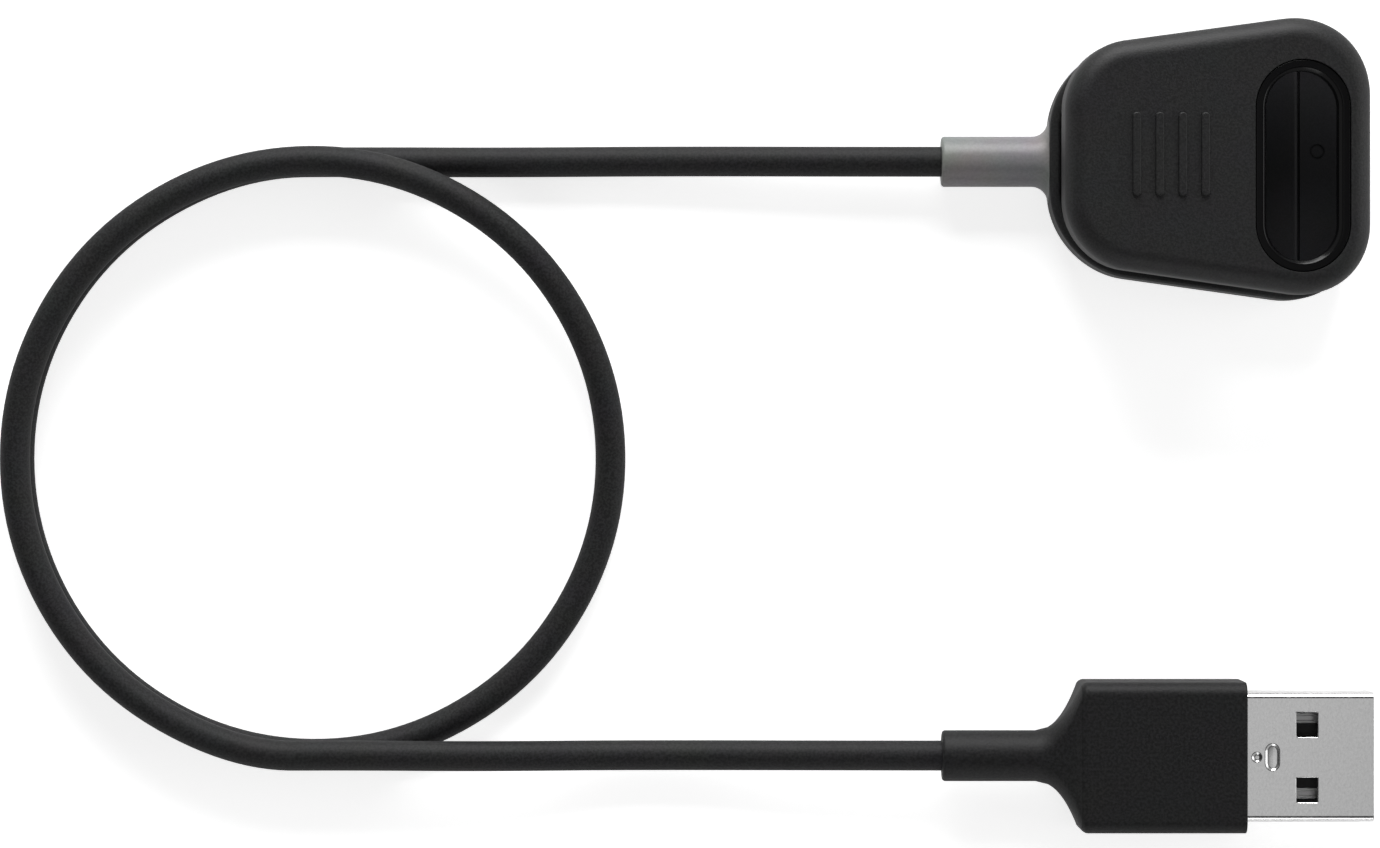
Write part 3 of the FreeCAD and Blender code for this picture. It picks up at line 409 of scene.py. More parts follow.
# Each slot's finish: its kind, the real material, its colour (a setting or sRGB hex) and its values.
RECIPES = {
    # Moulded TPU with a fine spark-eroded grain: dry and speckled, and its rolled edges glow softly.
    "soft_touch_black": (
        (grained, "TPU_spark_grain_black", "soft_black"),
        (0.2 * MM, 0.54, 0.02 * MM, 0.4, 0.42),
    ),
    # Polished ABS: near black, with a clear reflection of the lamps.
    "gloss_black": ((polished, "ABS_polished_black", "gloss_black"), (0.2, 0.25)),
    # ABS from a satin-finished tool: a black floor with a broad, weak sheen.
    "satin_black": ((grained, "ABS_satin_black", "1E1E20"), (0.15 * MM, 0.6, 0.003 * MM, 0.15, 0.2)),
    # Extruded matte TPE with fine flecks: soft light and dark sides with tiny sparkles.
    "cord_jacket": ((grained, "TPE_extruded_jacket", "jacket"), (0.22 * MM, 0.62, 0.016 * MM, 0.45, 0.3)),
    # Moulded TPE with a coarse grain: a mottled matte face and bright rolled edges.
    "plug_grip": ((grained, "TPE_coarse_grain_grip", "grip"), (0.25 * MM, 0.58, 0.03 * MM, 0.6, 0.35)),
    # Moulded grey TPE, smooth from the tool: a satin sleeve with a soft gradient.
    "relief_grey": ((grained, "TPE_satin_grey", "relief"), (0.3 * MM, 0.42, 0.003 * MM, 0.06)),
    # Nickel-plated steel strip: bright, with a fine and nearly even satin grain.
    "plug_steel": ((metal, "Nickel_plated_steel", "steel"), (0.2, 0.2 * MM, (1, 0.7, 1), 0.16, 0.004 * MM)),
    # Ground steel rod: smooth and darker.
    "pin_steel": ((metal, "Steel_ground_rod", "8E8F92"), (0.25, 0.1 * MM, (1, 0.2, 1))),
    # Drawn music wire: dark grey with a satin shine.
    "spring_steel": ((metal, "Music_wire_drawn", "77787B"), (0.3, 0.06 * MM)),
    # Stamped contact strip with nickel plate: grey and softly bright.
    "contact_nickel": ((metal, "Nickel_contact_strip", "B4B4B4"), (0.3, 0.1 * MM, (1, 4, 1))),
    # Hard gold plate on brass: warm and bright.
    "gold": ((metal, "Gold_plate_hard", "E3B565"), (0.22, 0.08 * MM)),
    # Turned brass: duller yellow with fine rings.
    "brass": ((metal, "Brass_turned", "C2A05A"), (0.3, 0.06 * MM, (1, 1, 3))),
    # Glass-epoxy board under black solder mask: satin with faint weave mottling.
    "board": ((grained, "Epoxy_board_black_mask", "10140F"), (0.12 * MM, 0.35, 0.004 * MM, 0.3)),
    # Extruded PVC insulation: plain satin.
    "core_insulation": ((grained, "PVC_core_insulation", "A8A49C"), (0.2 * MM, 0.4, 0.002 * MM, 0.08)),
    # Natural polyethylene pre-mould: milky and waxy.
    "inner_mould": ((grained, "PE_natural_premould", "CFCBBE"), (0.3 * MM, 0.45, 0.004 * MM, 0.08)),
    # Glass-filled LCP: a dull black with fine flow marks.
    "tongue_black": ((grained, "LCP_glass_filled_black", "161617"), (0.15 * MM, 0.48, 0.006 * MM, 0.25)),
}
FINISHES = {}


def finish_for(slot):
    """The material of one of the record's slots, made when it is first asked for."""
    if slot not in RECIPES:
        raise RuntimeError("the record has a slot with no finish here: " + slot)
    if slot not in FINISHES:
        (make, name, tone), values = RECIPES[slot]
        colours = bpy.context.scene.cable_colours
        base = tuple(getattr(colours, tone)) if hasattr(colours, tone) else linear(tone)
        FINISHES[slot] = make(name, base, *values)
    return FINISHES[slot]


# ---------------------------------------------------------------- hand tools


def leave_edit():
    """Goes back to object mode, so that the mesh holds the last edit."""
    bpy.ops.object.mode_set(mode="OBJECT")


def deselect():
    """Leaves edit mode and clears the selection."""
    if bpy.context.object and bpy.context.object.mode != "OBJECT":
        leave_edit()
    bpy.ops.object.select_all(action="DESELECT")


def only(piece):
    """Makes one object the selected and active one."""
    deselect()
    piece.select_set(True)
    bpy.context.view_layer.objects.active = piece


def edit(piece):
    """Opens one object in edit mode."""
    only(piece)
    bpy.ops.object.mode_set(mode="EDIT")


def pick_all():
    """Selects the whole mesh, in edit mode."""
    bpy.ops.mesh.select_all(action="SELECT")


def pick(piece, kind, test):
    """Selects the corners, edges or faces that pass a test, in edit mode."""
    bpy.ops.mesh.select_mode(type=kind)
    bpy.ops.mesh.select_all(action="DESELECT")
    mesh = bmesh.from_edit_mesh(piece.data)
    elements = {"VERT": mesh.verts, "EDGE": mesh.edges, "FACE": mesh.faces}[kind]
    found = [element for element in elements if test(element)]
    if not found:
        raise RuntimeError(piece.name + ": nothing to select")
    for element in found:
        element.select_set(True)
    mesh.select_flush_mode()
    bmesh.update_edit_mesh(piece.data)


def push(offset):
    """Extrudes what is selected by a vector."""
    bpy.ops.mesh.extrude_region_move(TRANSFORM_OT_translate={"value": tuple(offset)})


def move(offset):
    """Moves what is selected."""
    bpy.ops.transform.translate(value=offset)


def grow(factors, centre):
    """Scales what is selected about a place."""
    bpy.ops.transform.resize(value=factors, center_override=centre)


def face_out():
    """Turns all of a closed piece's faces outwards, in edit mode."""
    pick_all()
    bpy.ops.mesh.normals_make_consistent(inside=False)


def both(edge, test):
    """True when both ends of an edge pass a test."""
    return all(test(corner.co) for corner in edge.verts)


def near(value, target, slack=0.004 * MM):
    """True when two places are the same within a hair."""
    return abs(value - target) < slack


def level_with(edge, z):
    """True when an edge lies at a height."""
    return both(edge, lambda co: near(co.z, z))


def abreast(edge, x):
    """True when an edge lies at a place along the cord."""
    return both(edge, lambda co: near(co.x, x))


def rim_at(piece, z):
    """Selects the outline edges at a level: those between a flat face and a standing one."""
    pick(
        piece,
        "EDGE",
        lambda e: level_with(e, z)
        and len(e.link_faces) == 2
        and sum(abs(f.normal.z) > FLAT for f in e.link_faces) == 1,
    )


def roll(size, segments):
    """Rolls over the selected edges."""
    bpy.ops.mesh.bevel(
        offset=size, segments=segments, profile=0.5, affect="EDGES", clamp_overlap=False, offset_type="OFFSET"
    )


def round_corners(radius, steps):
    """Rounds the selected corners of a sheet, then selects all of it."""
    bpy.ops.mesh.bevel(offset=radius, segments=steps, affect="VERTICES", clamp_overlap=False)
    pick_all()


def dress(piece, body, slot, replaced):
    """Gives a finished piece the material of its slot, hangs it on its body and hides the frame's nodes that it
    stands for.
    """
    piece.data.materials.clear()
    piece.data.materials.append(finish_for(slot))
    if body:
        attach(piece, body)
    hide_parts(*replaced)


def close_up(piece, body, slot, replaced, sharp=35):
    """Finishes a piece: welds it, turns its faces out, smooths it and dresses it."""
    edit(piece)
    pick_all()
    bpy.ops.mesh.remove_doubles(threshold=WELD)
    face_out()
    only(piece)
    bpy.ops.object.transform_apply(location=True, rotation=True, scale=True)
    bpy.ops.object.shade_smooth_by_angle(angle=math.radians(sharp))
    even = piece.modifiers.new("even", "WEIGHTED_NORMAL")
    even.keep_sharp = True
    bpy.ops.object.modifier_apply(modifier="even")
    dress(piece, body, slot, replaced)


def start(name, kind, **how):
    """Adds a primitive and names it."""
    deselect()
    getattr(bpy.ops.mesh, kind)(**how)
    piece = bpy.context.object
    piece.name = name
    piece.data.name = name
    return piece


def sheet(name, width, span, size=1):
    """A flat sheet about the frame's origin, all selected in edit mode. Size 2 takes half measures."""
    piece = start(name, "primitive_plane_add", size=size, location=(0, 0, 0))
    edit(piece)
    pick_all()
    grow((width, span, 1), (0, 0, 0))
    bpy.ops.mesh.select_mode(type="VERT")
    pick_all()
    return piece


def disc(name, centre, radius, corners):
    """A round plate across the cord's way, all selected in edit mode."""
    piece = start(
        name,
        "primitive_circle_add",
        vertices=corners,
        radius=radius,
        fill_type="NGON",
        location=centre,
        rotation=(0, -math.pi / 2, 0),
    )
    bpy.ops.object.transform_apply(location=True, rotation=True, scale=True)
    edit(piece)
    pick_all()
    return piece


def twin(piece, shift):
    """A copy of a piece with a mesh of its own, moved in edit mode."""
    copy = piece.copy()
    copy.data = piece.data.copy()
    bpy.context.scene.collection.objects.link(copy)
    edit(copy)
    pick_all()
    move(shift)
    return copy


def cut(piece, cutter, operation="DIFFERENCE"):
    """Cuts one piece with another, or joins it on, and clears the tool away."""
    only(piece)
    modifier = piece.modifiers.new("cut", "BOOLEAN")
    modifier.operation = operation
    modifier.solver = "EXACT"
    modifier.object = cutter
    bpy.ops.object.modifier_apply(modifier="cut")
    bpy.data.objects.remove(cutter)


def join(piece, others):
    """Joins other pieces on to a piece."""
    only(piece)
    for other in others:
        other.select_set(True)
    bpy.ops.object.join()


def tilt(piece):
    """Turns a piece of the upper arm from level to its rest about the hinge pin."""
    edit(piece)
    pick_all()
    bpy.ops.transform.rotate(value=-REST_TILT, orient_axis="Y", center_override=PIVOT)
    leave_edit()


def raised(piece, height):
    """Raises the sheet in edit mode to a closed block."""
    pick_all()
    push((0, 0, height))
    face_out()
    leave_edit()
    return piece


def clip_blank(name, sizes, tail_corner, inset, base, height):
    """A plate with the clip's outline: a tapered sheet with rounded corners, raised to its height."""
    half_length = sizes.span / 2 - inset
    half_width = sizes.width / 2 - inset / math.cos(sizes.taper)
    piece = sheet(name, half_length, half_width, 2)
    move((0, 0, base))
    for side in (-1, 1):
        wanted = half_width + side * half_length * math.tan(sizes.taper)
        pick(piece, "VERT", lambda v: v.co.x * side > 0)
        grow((1, wanted / half_width, 1), (0, 0, base))
    corners = ((-1, -1, tail_corner), (-1, 1, tail_corner), (1, -1, sizes.jaw_right), (1, 1, sizes.jaw_left))
    for end, side, radius in corners:
        half_corner = math.radians(45) - end * sizes.taper / 2
        pick(piece, "VERT", lambda v: v.co.x * end > half_length * 0.99 and v.co.y * side > half_width * 0.8)
        round_corners((radius - inset) / math.tan(half_corner), CORNER_STEPS)
    return raised(piece, height)


def slot_blank(name, centre, width, span, base, height, corner, steps=CORNER_STEPS):
    """A bar with rounded corners, long across the clip."""
    piece = sheet(name, width, span)
    move((*centre, base))
    round_corners(corner, steps)
    return raised(piece, height)


def window_blank(name, sizes, ring, base, height, clear=0.0):
    """A bar with the window's outline, with or without the ring round it."""
    centre = (sizes.window_x, sizes.window_y)
    more = 2 * (ring * sizes.bezel_ring + clear)
    width = sizes.window_width + more
    return slot_blank(name, centre, width, sizes.window_length + more, base, height, width / 2 * ALMOST)


def plug_blank(name, x, width, height, corner, steps):
    """An upright sheet with rounded corners across the plug's axis, all selected in edit mode."""
    piece = sheet(name, 1, 1)
    bpy.ops.transform.rotate(value=-math.pi / 2, orient_axis="Y", center_override=(0, 0, 0))
    grow((1, width, height), (0, 0, 0))
    round_corners(corner, steps)
    move((x, PLUG_AXIS.y, PLUG_AXIS.z))
    return piece


def open_face(piece, x):
    """Takes away the end faces at a place along the cord."""
    pick(piece, "FACE", lambda f: abs(f.normal.x) > FLAT and near(f.calc_center_median().x, x))
    bpy.ops.mesh.delete(type="ONLY_FACE")


def cord_socket(piece, centre, radius, rim):
    """Sinks the socket that the cord enters into a round end, and rolls the end's rim."""
    x, y, z = centre
    cord_radius = bpy.context.scene.cable_cord.diameter / 2
    pick(piece, "FACE", lambda f: f.normal.x < -FLAT and near(f.calc_center_median().x, x))
    bpy.ops.mesh.inset(thickness=radius - cord_radius - SOCKET_GAP)
    push((SOCKET_DEPTH, 0, 0))
    pick(
        piece,
        "EDGE",
        lambda e: both(e, lambda co: near(co.x, x) and math.hypot(co.y - y, co.z - z) > radius * 0.95),
    )
    roll(rim, 4)


# ---------------------------------------------------------------- operators


STAGE_CENTRE = (-0.05, -0.025, 0)
FLOOR_SIZE = 6.0
# How strongly the floor glows to the camera, and how much of that polished parts mirror.
FLOOR_GLOW = 0.7
MIRROR_SHARE = 0.4
# The surroundings that polished parts mirror, from low to high: their strength and their grey bands.
SKY_STRENGTH = 0.9
SKY_LOW = "B4B4B4"
SKY_HIGH = "D4D4D4"
SKY_BANDS = ((0.35, "B4B4B4"), (0.7, "6A6A6A"), (0.88, "2A2A2A"), (0.955, "2A2A2A"), (0.985, "D4D4D4"))
# Each lamp's name, place, side and power.
LAMPS = (
    ("key_low", (-0.05, 0.95, 0.46), 0.7, 12.0),
    ("side_low", (0.95, 0.05, 0.4), 0.7, 2.0),
    ("fill_low", (-0.05, -1.0, 0.5), 0.5, 1.3),
)
CAMERA_PLACE = (-47.76 * MM, -24.5 * MM, 440 * MM)
CAMERA_LENS = 122.07


def lay_floor(scene):
    """The floor: it takes soft shadows, and it looks white from above and pale in polished parts."""
    floor = start("floor", "primitive_plane_add", size=FLOOR_SIZE, location=STAGE_CENTRE)
    paint = tuple(scene.cable_colours.floor)
    # Matte painted board: plain, and white to the eye wherever no shadow falls.
    material, tree, output, place = new_material("Board_matte_white")
    tooth = noise(tree, place, 2 * MM, 2.0)
    tone = ramp(tree, (tooth, "Fac"), shade(paint, 0.99), paint)
    matte = add_node(tree, "ShaderNodeBsdfDiffuse", links={"Color": (tone, "Color")})
    rays = add_node(tree, "ShaderNodeLightPath")
    mirrored = combine(tree, "MULTIPLY", (rays, "Is Glossy Ray"), MIRROR_SHARE)
    seen = combine(tree, "MAXIMUM", (rays, "Is Camera Ray"), (mirrored, "Value"))
    seen_through = combine(tree, "MAXIMUM", (seen, "Value"), (rays, "Is Transmission Ray"))
    lift = combine(tree, "MULTIPLY", (seen_through, "Value"), FLOOR_GLOW)
    glow = add_node(tree, "ShaderNodeEmission", links={"Strength": (lift, "Value")})
    board = add_node(tree, "ShaderNodeAddShader", links={0: (matte, "BSDF"), 1: (glow, "Emission")})
    tree.links.new(board.outputs["Shader"], output.inputs["Surface"])
    floor.data.materials.append(material)


def surround(scene):
    """The surroundings: plain white to the camera, and grey bands to everything else."""
    world = bpy.data.worlds.new("studio")
    scene.world = world
    world.use_nodes = True
    tree = world.node_tree
    tree.nodes.clear()
    output = add_node(tree, "ShaderNodeOutputWorld")
    sky = add_node(tree, "ShaderNodeTexCoord")
    height = add_node(tree, "ShaderNodeSeparateXYZ", links={"Vector": (sky, "Generated")})
    bands = ramp(tree, (height, "Z"), linear(SKY_LOW), linear(SKY_HIGH))
    for level, tone in SKY_BANDS:
        bands.color_ramp.elements.new(level).color = linear(tone)
    room = add_node(
        tree, "ShaderNodeBackground", values={"Strength": SKY_STRENGTH}, links={"Color": (bands, "Color")}
    )
    white = add_node(tree, "ShaderNodeBackground", values={"Color": linear("FFFFFF"), "Strength": 1.0})
    rays = add_node(tree, "ShaderNodeLightPath")
    mixed = add_node(
        tree,
        "ShaderNodeMixShader",
        links={"Fac": (rays, "Is Camera Ray"), 1: (room, "Background"), 2: (white, "Background")},
    )
    tree.links.new(mixed.outputs["Shader"], output.inputs["Surface"])


def hang_lamp(scene, name, place, size, power):
    """A soft square lamp that faces the middle of the stage."""
    data = bpy.data.lights.new(name, "AREA")
    data.shape = "SQUARE"
    data.size = size
    data.energy = power
    lamp = bpy.data.objects.new(name, data)
    scene.collection.objects.link(lamp)
    lamp.location = place
    lamp.rotation_euler = (Vector(STAGE_CENTRE) - Vector(place)).to_track_quat("-Z", "Y").to_euler()


def set_camera(scene):
    """The camera, straight above the cable."""
    data = bpy.data.cameras.new("camera")
    camera = bpy.data.objects.new("camera", data)
    scene.collection.objects.link(camera)
    camera.location = CAMERA_PLACE
    data.lens = CAMERA_LENS
    data.sensor_width = 36
    data.clip_start = 0.01
    data.clip_end = 20
    scene.camera = camera


class CABLE_OT_stage(Operator):
    """Pale floor, soft lamps, white surroundings and the camera"""

    bl_idname = "cable.stage"
    bl_label = "Stage"

    def execute(self, context):
        scene = context.scene
        scene.view_settings.view_transform = "Standard"
        lay_floor(scene)
        surround(scene)
        for lamp in LAMPS:
            hang_lamp(scene, *lamp)
        set_camera(scene)
        return {"FINISHED"}


class CABLE_OT_cord(Operator):
    """The round cord in its loop, and the grey sleeve where it leaves the clip"""

    bl_idname = "cable.cord"
    bl_label = "Cord and strain relief"

    def execute(self, context):
        sizes = context.scene.cable_cord
        step = math.radians(360 / LOOP_CORNERS_PER_TURN)
        reach = LOOP_RADIUS / math.cos(step / 2)
        route = list(CORD_TO_LOOP)
        for index, lift in enumerate(LOOP_LIFTS):
            turn = math.radians(90) + step * (index + 0.5)
            x = LOOP_CENTRE[0] + reach * math.cos(turn)
            y = LOOP_CENTRE[1] + reach * math.sin(turn)
            route.append((x, y, LOOP_FLOOR + lift * LOOP_LAP))
        route += CORD_TO_PLUG
        deselect()
        curve = bpy.data.curves.new("cord_jacket", "CURVE")
        curve.dimensions = "3D"
        line = curve.splines.new("NURBS")
        line.points.add(len(route) - 1)
        for point, place in zip(line.points, route):
            point.co = (*[c * MM for c in place], 1)
        line.order_u = 3
        line.use_endpoint_u = True
        line.resolution_u = 12
        curve.resolution_u = 12
        curve.bevel_depth = sizes.diameter / 2
        curve.bevel_resolution = 8
        curve.use_fill_caps = True
        cord = bpy.data.objects.new("cord_jacket", curve)
        context.scene.collection.objects.link(cord)
        dress(cord, LOWER, "cord_jacket", ["cord"])

        tip = -context.scene.cable_clip.span / 2 - sizes.relief_length
        radius = sizes.relief_radius
        flare = sizes.relief_flare
        height = CORD_EXIT.z
        sleeve = disc("strain_relief_sleeve", (tip, 0, height), radius, 64)
        push((sizes.relief_length - flare, 0, 0))
        reached = 0.0
        spread = 0.0
        for number in range(1, RELIEF_STEPS + 1):
            turn = math.radians(90) * number / RELIEF_STEPS
            along = flare * math.sin(turn)
            out = flare * (1 - math.cos(turn))
            push((along - reached, 0, 0))
            grow((1, (radius + out) / (radius + spread), 1), (0, 0, height))
            reached, spread = along, out
        push((RELIEF_ROOT, 0, 0))
        face_out()
        cord_socket(sleeve, (tip, 0, height), radius, RELIEF_ROLL)
        close_up(sleeve, LOWER, "relief_grey", ["strain_relief"])
        return {"FINISHED"}


class CABLE_OT_upper_arm(Operator):
    """Soft cap of the upper arm with its rolled edge, window and grip ribs"""

    bl_idname = "cable.upper_arm"
    bl_label = "Upper arm cover"

    def execute(self, context):
        sizes = context.scene.cable_clip
        ribs = context.scene.cable_ribs
        top = UPPER_BOTTOM + sizes.upper_height
        cap = clip_blank(
            "upper_arm_cap", sizes, sizes.upper_tail, sizes.upper_setback, UPPER_BOTTOM, sizes.upper_height
        )
        edit(cap)
        pick(cap, "FACE", lambda f: f.normal.z < -FLAT)
        bpy.ops.mesh.inset(thickness=sizes.wall)
        push((0, 0, sizes.upper_height - sizes.floor))
        rim_at(cap, top)
        roll(sizes.top_edge, 12)
        rim_at(cap, UPPER_BOTTOM)
        roll(sizes.rim_edge, 4)
        leave_edit()
        cut(cap, window_blank("window_tool", sizes, 1, UPPER_BOTTOM - SPARE, sizes.upper_height + 2 * SPARE))
        edit(cap)
        pick(
            cap,
            "EDGE",
            lambda e: level_with(e, top)
            and sum(abs(f.normal.z) > LEVEL for f in e.link_faces) == 1
            and sum(abs(f.normal.z) < UPRIGHT for f in e.link_faces) == 1,
        )
        roll(WINDOW_ROLL, 2)
        leave_edit()

        root = top - sizes.floor / 2
        rise = top + ribs.height - root
        corner = ribs.width * RIB_CORNER
        rib = slot_blank("grip_rib", (0, 0), ribs.width, ribs.span, root, rise, corner, 8)
        edit(rib)
        rim_at(rib, top + ribs.height)
        roll(ribs.edge, 4)
        leave_edit()
        for index in range(ribs.count):
            shift = ribs.centre_x + (index - (ribs.count - 1) / 2) * ribs.pitch
            cut(cap, twin(rib, (shift, 0, 0)), "UNION")
        bpy.data.objects.remove(rib)
        tilt(cap)
        close_up(cap, UPPER, "soft_touch_black", ["upper_arm_cover"])
        return {"FINISHED"}


class CABLE_OT_bezel(Operator):
    """Glossy funnel ring that lines the window"""

    bl_idname = "cable.bezel"
    bl_label = "Window bezel"

    def execute(self, context):
        sizes = context.scene.cable_clip
        base = UPPER_BOTTOM + BEZEL_FOOT
        top = UPPER_BOTTOM + sizes.upper_height - sizes.bezel_below
        ring = window_blank("window_bezel_ring", sizes, 1, base, top - base, -BEZEL_GAP)
        cut(ring, window_blank("window_tool", sizes, 0, base - SPARE, top - base + 2 * SPARE))
        below_lip = top - sizes.bezel_lip - base + SPARE
        cut(ring, window_blank("skirt_tool", sizes, 1, base - SPARE, below_lip, -sizes.bezel_skirt))
        middle = Vector((sizes.window_x, sizes.window_y, top))
        edit(ring)
        pick(
            ring,
            "EDGE",
            lambda e: level_with(e, top)
            and any(
                abs(f.normal.z) < UPRIGHT and f.normal.dot(middle - f.calc_center_median()) > 0
                for f in e.link_faces
            ),
        )
        roll(sizes.bezel_bevel, 1)
        rim_at(ring, top)
        roll(BEZEL_ROLL, 4)
        tilt(ring)
        close_up(ring, UPPER, "gloss_black", ["window_bezel"], 25)
        return {"FINISHED"}


class CABLE_OT_lower_arm(Operator):
    """Soft tub of the lower arm"""

    bl_idname = "cable.lower_arm"
    bl_label = "Lower arm cover"

    def execute(self, context):
        sizes = context.scene.cable_clip
        tub = clip_blank("lower_arm_tub", sizes, sizes.lower_tail, 0, 0, sizes.lower_height)
        edit(tub)
        pick(tub, "FACE", lambda f: f.normal.z > FLAT)
        bpy.ops.mesh.inset(thickness=sizes.wall)
        push((0, 0, sizes.floor - sizes.lower_height))
        rim_at(tub, 0)
        roll(sizes.foot_edge, 10)
        rim_at(tub, sizes.lower_height)
        roll(sizes.rim_edge, 4)
        close_up(tub, LOWER, "soft_touch_black", ["lower_arm_cover"])
        return {"FINISHED"}


class CABLE_OT_plug_grip(Operator):
    """Soft grip of the plug: round neck, flare, shoulder and flat-sided body"""

    bl_idname = "cable.plug_grip"
    bl_label = "Plug grip"

    def execute(self, context):
        sizes = context.scene.cable_plug
        back = PLUG_FRONT - sizes.body_length
        neck_end = back - sizes.flare_length
        tip = neck_end - sizes.neck_length
        neck_tip = (tip, PLUG_AXIS.y, PLUG_AXIS.z)
        grip = plug_blank("plug_grip", back, sizes.width, sizes.height, sizes.edge, GRIP_STEPS)
        push((sizes.body_length, 0, 0))
        open_face(grip, back)
        # The neck has as many corners as the grip, so that the flare joins them one to one.
        neck = disc("plug_neck", neck_tip, sizes.neck_radius, 4 * (GRIP_STEPS + 1))
        push((sizes.neck_length, 0, 0))
        open_face(neck, neck_end)
        join(grip, [neck])
        edit(grip)
        pick(
            grip,
            "EDGE",
            lambda e: len(e.link_faces) == 1
            and both(e, lambda co: near(co.x, back) or near(co.x, neck_end)),
        )
        bpy.ops.mesh.bridge_edge_loops(number_cuts=FLARE_CUTS, interpolation="LINEAR")
        # The flare's rings move towards the grip, which bends its straight sides. The front one goes first.
        for ring in reversed(range(1, FLARE_CUTS + 1)):
            growth = ring / (FLARE_CUTS + 1)
            now = neck_end + sizes.flare_length * growth
            wanted = neck_end + sizes.flare_length * growth ** (1 / FLARE_BEND)
            pick(grip, "VERT", lambda v: near(v.co.x, now, 0.02 * MM))
            move((wanted - now, 0, 0))
        face_out()
        pick(grip, "EDGE", lambda e: abreast(e, back))
        roll(sizes.shoulder, 4)
        pick(grip, "EDGE", lambda e: abreast(e, PLUG_FRONT))
        roll(sizes.front_edge, 3)
        cord_socket(grip, neck_tip, sizes.neck_radius, NECK_ROLL)
        close_up(grip, LOWER, "plug_grip", ["plug_overmould"], 40)
        return {"FINISHED"}


class CABLE_OT_plug_shell(Operator):
    """Folded steel shell of the plug, with its latch windows and pressed marks"""

    bl_idname = "cable.plug_shell"
    bl_label = "Plug shell"

    def execute(self, context):
        sizes = context.scene.cable_plug
        mouth = PLUG_FRONT + sizes.shell_shows
        tail = PLUG_FRONT - sizes.shell_buried
        top = PLUG_AXIS.z + sizes.shell_height / 2
        shell = plug_blank(
            "plug_shell_folded", tail, sizes.shell_width, sizes.shell_height, sizes.shell_corner, 10
        )
        push((mouth - tail, 0, 0))
        face_out()
        pick(shell, "FACE", lambda f: abs(f.normal.x) > FLAT)
        bpy.ops.mesh.delete(type="ONLY_FACE")
        leave_edit()
        wall = shell.modifiers.new("wall", "SOLIDIFY")
        wall.thickness = sizes.shell_wall
        wall.offset = -1
        bpy.ops.object.modifier_apply(modifier="wall")

        depth = 2 * sizes.shell_height
        base = PLUG_AXIS.z - depth / 2
        size = (sizes.latch_length, sizes.latch_width)
        for side in (-1, 1):
            x = mouth - sizes.latch_place - sizes.latch_length / 2
            place = (x, PLUG_AXIS.y + side * sizes.latch_spacing / 2)
            cut(shell, slot_blank("latch_tool", place, *size, base, depth, LATCH_CORNER, 3))

        marks = (
            (sizes.dimple_place, sizes.dimple, sizes.dimple),
            (sizes.oval_place, sizes.oval_width, sizes.oval_length),
        )
        floor = top - sizes.mark_depth
        slope = 2 * sizes.mark_slope
        for place, width, span in marks:
            centre = (PLUG_FRONT + place, PLUG_AXIS.y)
            size = (width + slope, span + slope)
            corner = size[0] / 2 * ALMOST
            tool = slot_blank("mark_tool", centre, *size, floor, 2 * sizes.mark_depth, corner, 10)
            edit(tool)
            rim_at(tool, floor)
            grow(((width - slope) / size[0], (span - slope) / size[1], 1), (*centre, floor))
            rim_at(tool, floor)
            roll(MARK_FLOOR_ROLL, 3)
            cut(shell, tool)

        edit(shell)
        pick(
            shell,
            "EDGE",
            lambda e: both(e, lambda co: near(co.z, top) and tail + END_ROOM < co.x < mouth - END_ROOM)
            and sum(f.normal.z > LEVEL for f in e.link_faces) == 1
            and sum(abs(f.normal.z) < SLOPING for f in e.link_faces) == 1,
        )
        roll(STEEL_ROLL, 4)
        pick(
            shell,
            "EDGE",
            lambda e: abreast(e, mouth)
            and sum(f.normal.x > FLAT for f in e.link_faces) == 1
            and any(
                abs(f.normal.x) < STANDING and f.normal.dot(f.calc_center_median() - PLUG_AXIS) > 0
                for f in e.link_faces
            ),
        )
        roll(MOUTH_ROLL, 3)
        close_up(shell, LOWER, "plug_steel", ["plug_shell"])
        return {"FINISHED"}


class CABLE_OT_plug_contacts(Operator):
    """Four stamped contact strips on the plug's tongue, each a shallow channel"""

    bl_idname = "cable.plug_contacts"
    bl_label = "Plug contacts"

    def execute(self, context):
        sizes = context.scene.cable_plug
        tail = PLUG_FRONT - sizes.shell_buried - sizes.contact_tail
        tip = PLUG_FRONT + sizes.shell_shows - sizes.contact_outer_tip
        strip = sheet("contact_strip", tip - tail, sizes.contact_width)
        move(((tip + tail) / 2, PLUG_AXIS.y, CONTACT_TOP - sizes.contact_thickness))
        push((0, 0, sizes.contact_thickness))
        face_out()
        pick(strip, "FACE", lambda f: f.normal.z > FLAT)
        bpy.ops.mesh.inset(thickness=sizes.contact_width * CHANNEL_SIDE)
        push((0, 0, -sizes.contact_thickness * CHANNEL_DEPTH))
        rim_at(strip, CONTACT_TOP)
        roll(STEEL_ROLL, 3)
        leave_edit()
        strips = []
        for place in (-sizes.contact_outer, -sizes.contact_inner, sizes.contact_inner, sizes.contact_outer):
            copy = twin(strip, (0, place, 0))
            if abs(place) == sizes.contact_inner:
                pick(copy, "VERT", lambda v: v.co.x > tip - 1 * MM)
                move((-sizes.contact_inner_back, 0, 0))
            strips.append(copy)
        leave_edit()
        bpy.data.objects.remove(strip)
        contacts, *others = strips
        join(contacts, others)
        contacts.name = "plug_contacts"
        contacts.data.name = "plug_contacts"
        close_up(contacts, LOWER, "contact_nickel", ["plug_pins"], 30)
        return {"FINISHED"}


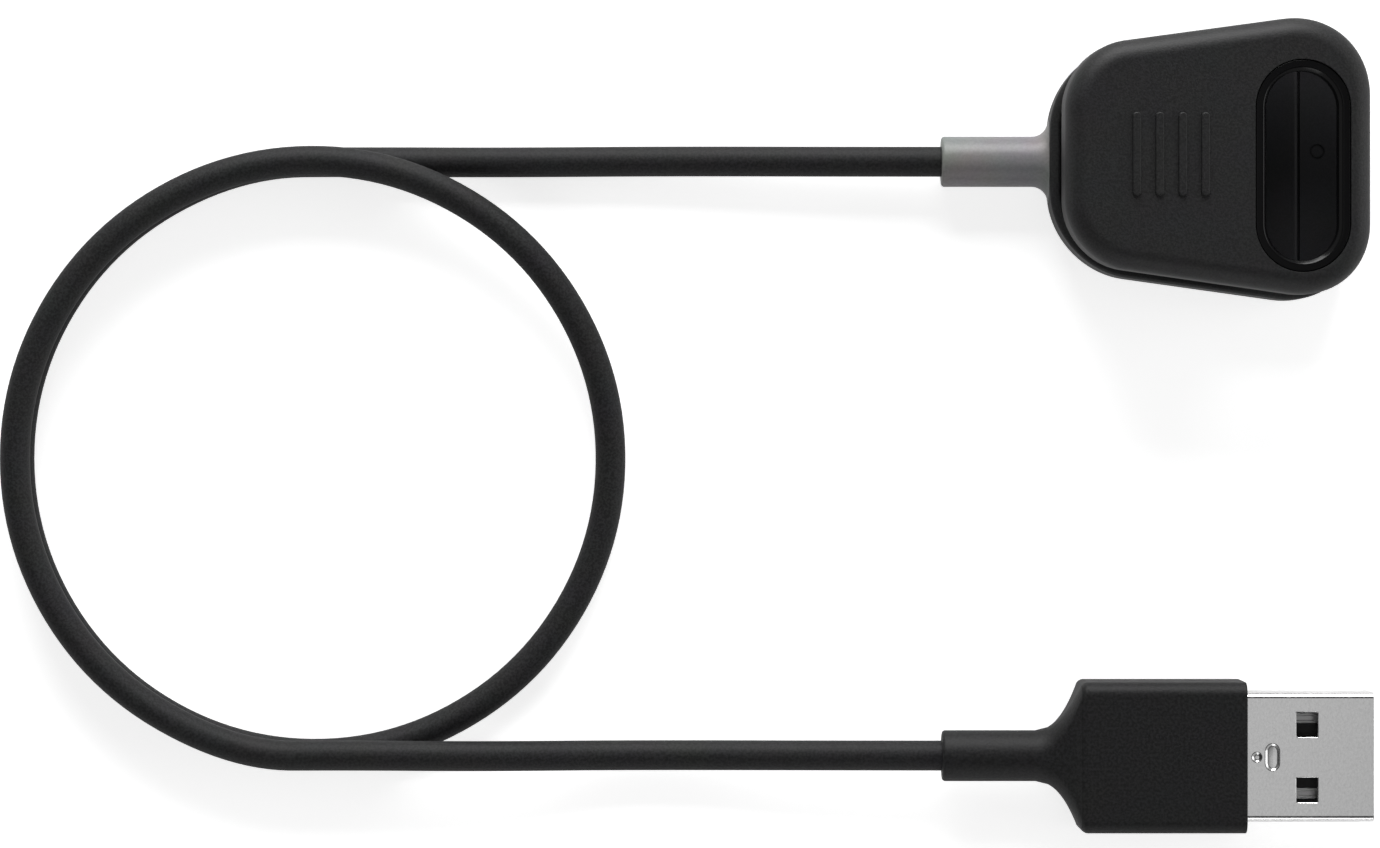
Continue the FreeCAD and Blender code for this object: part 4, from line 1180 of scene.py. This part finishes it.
class CABLE_OT_small_parts(Operator):
    """Smoothed copies of the small machined and moulded parts, each with its finish"""

    bl_idname = "cable.small_parts"
    bl_label = "Small parts"

    def execute(self, context):
        slots = {part["node"]: part["material_slot"] for part in frame["record"]["subparts"]}
        copies = {}
        for name, node in sorted(frame["nodes"].items()):
            if node.hide_render:
                continue
            copy = bpy.data.objects.new(name + "_smooth", node.data.copy())
            copy.data.name = copy.name
            context.scene.collection.objects.link(copy)
            only(copy)
            bpy.ops.mesh.customdata_custom_splitnormals_clear()
            body = None if name == "torsion_spring" else node["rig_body"]
            close_up(copy, body, slots[name], [name], 30)
            copies[name] = copy
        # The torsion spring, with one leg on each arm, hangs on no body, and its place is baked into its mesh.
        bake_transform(copies["torsion_spring"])
        # Each contact spring under a sliding plunger gets a mesh of its own.
        for joint in frame["joints"]:
            if joint["type"] == "slide":
                name = joint["child"].replace("contact_", "contact_spring_")
                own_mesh(copies[name])
        return {"FINISHED"}


class CABLE_PT_panel(Panel):
    """Lists the sizes, the colours and the steps"""

    bl_label = "Charging cable"
    bl_idname = "CABLE_PT_panel"
    bl_space_type = "VIEW_3D"
    bl_region_type = "UI"
    bl_category = "Cable"

    def draw(self, context):
        layout = self.layout
        for group in GROUPS:
            box = layout.box()
            owner = getattr(context.scene, GROUPS[group])
            box.label(text=group.__doc__)
            for name in group.__annotations__:
                box.prop(owner, name)
        for step in STEPS:
            layout.operator(step.bl_idname)


GROUPS = {
    ClipSizes: "cable_clip",
    RibSizes: "cable_ribs",
    CordSizes: "cable_cord",
    PlugSizes: "cable_plug",
    CableColours: "cable_colours",
}
STEPS = (
    CABLE_OT_stage,
    CABLE_OT_cord,
    CABLE_OT_upper_arm,
    CABLE_OT_bezel,
    CABLE_OT_lower_arm,
    CABLE_OT_plug_grip,
    CABLE_OT_plug_shell,
    CABLE_OT_plug_contacts,
    CABLE_OT_small_parts,
)


def register():
    """Adds the groups, the steps and the panel."""
    for group, name in GROUPS.items():
        bpy.utils.register_class(group)
        setattr(bpy.types.Scene, name, PointerProperty(type=group))
    for step in STEPS:
        bpy.utils.register_class(step)
    bpy.utils.register_class(CABLE_PT_panel)


def unregister():
    """Removes what register added."""
    bpy.utils.unregister_class(CABLE_PT_panel)
    for step in reversed(STEPS):
        bpy.utils.unregister_class(step)
    for group, name in reversed(GROUPS.items()):
        delattr(bpy.types.Scene, name)
        bpy.utils.unregister_class(group)


def main():
    """Builds the cable, step by step, and lists the pieces that ride on its cord."""
    register()
    for step in STEPS:
        area, name = step.bl_idname.split(".")
        getattr(getattr(bpy.ops, area), name)()
    on_cord = ["strain_relief_sleeve", "plug_grip", "plug_shell_folded", "plug_insulator_smooth"]
    on_cord += ["plug_contacts", "plug_inner_mould_smooth", "plug_crimp_smooth", "plug_cores_smooth"]


if __name__ == "__main__":
    main()
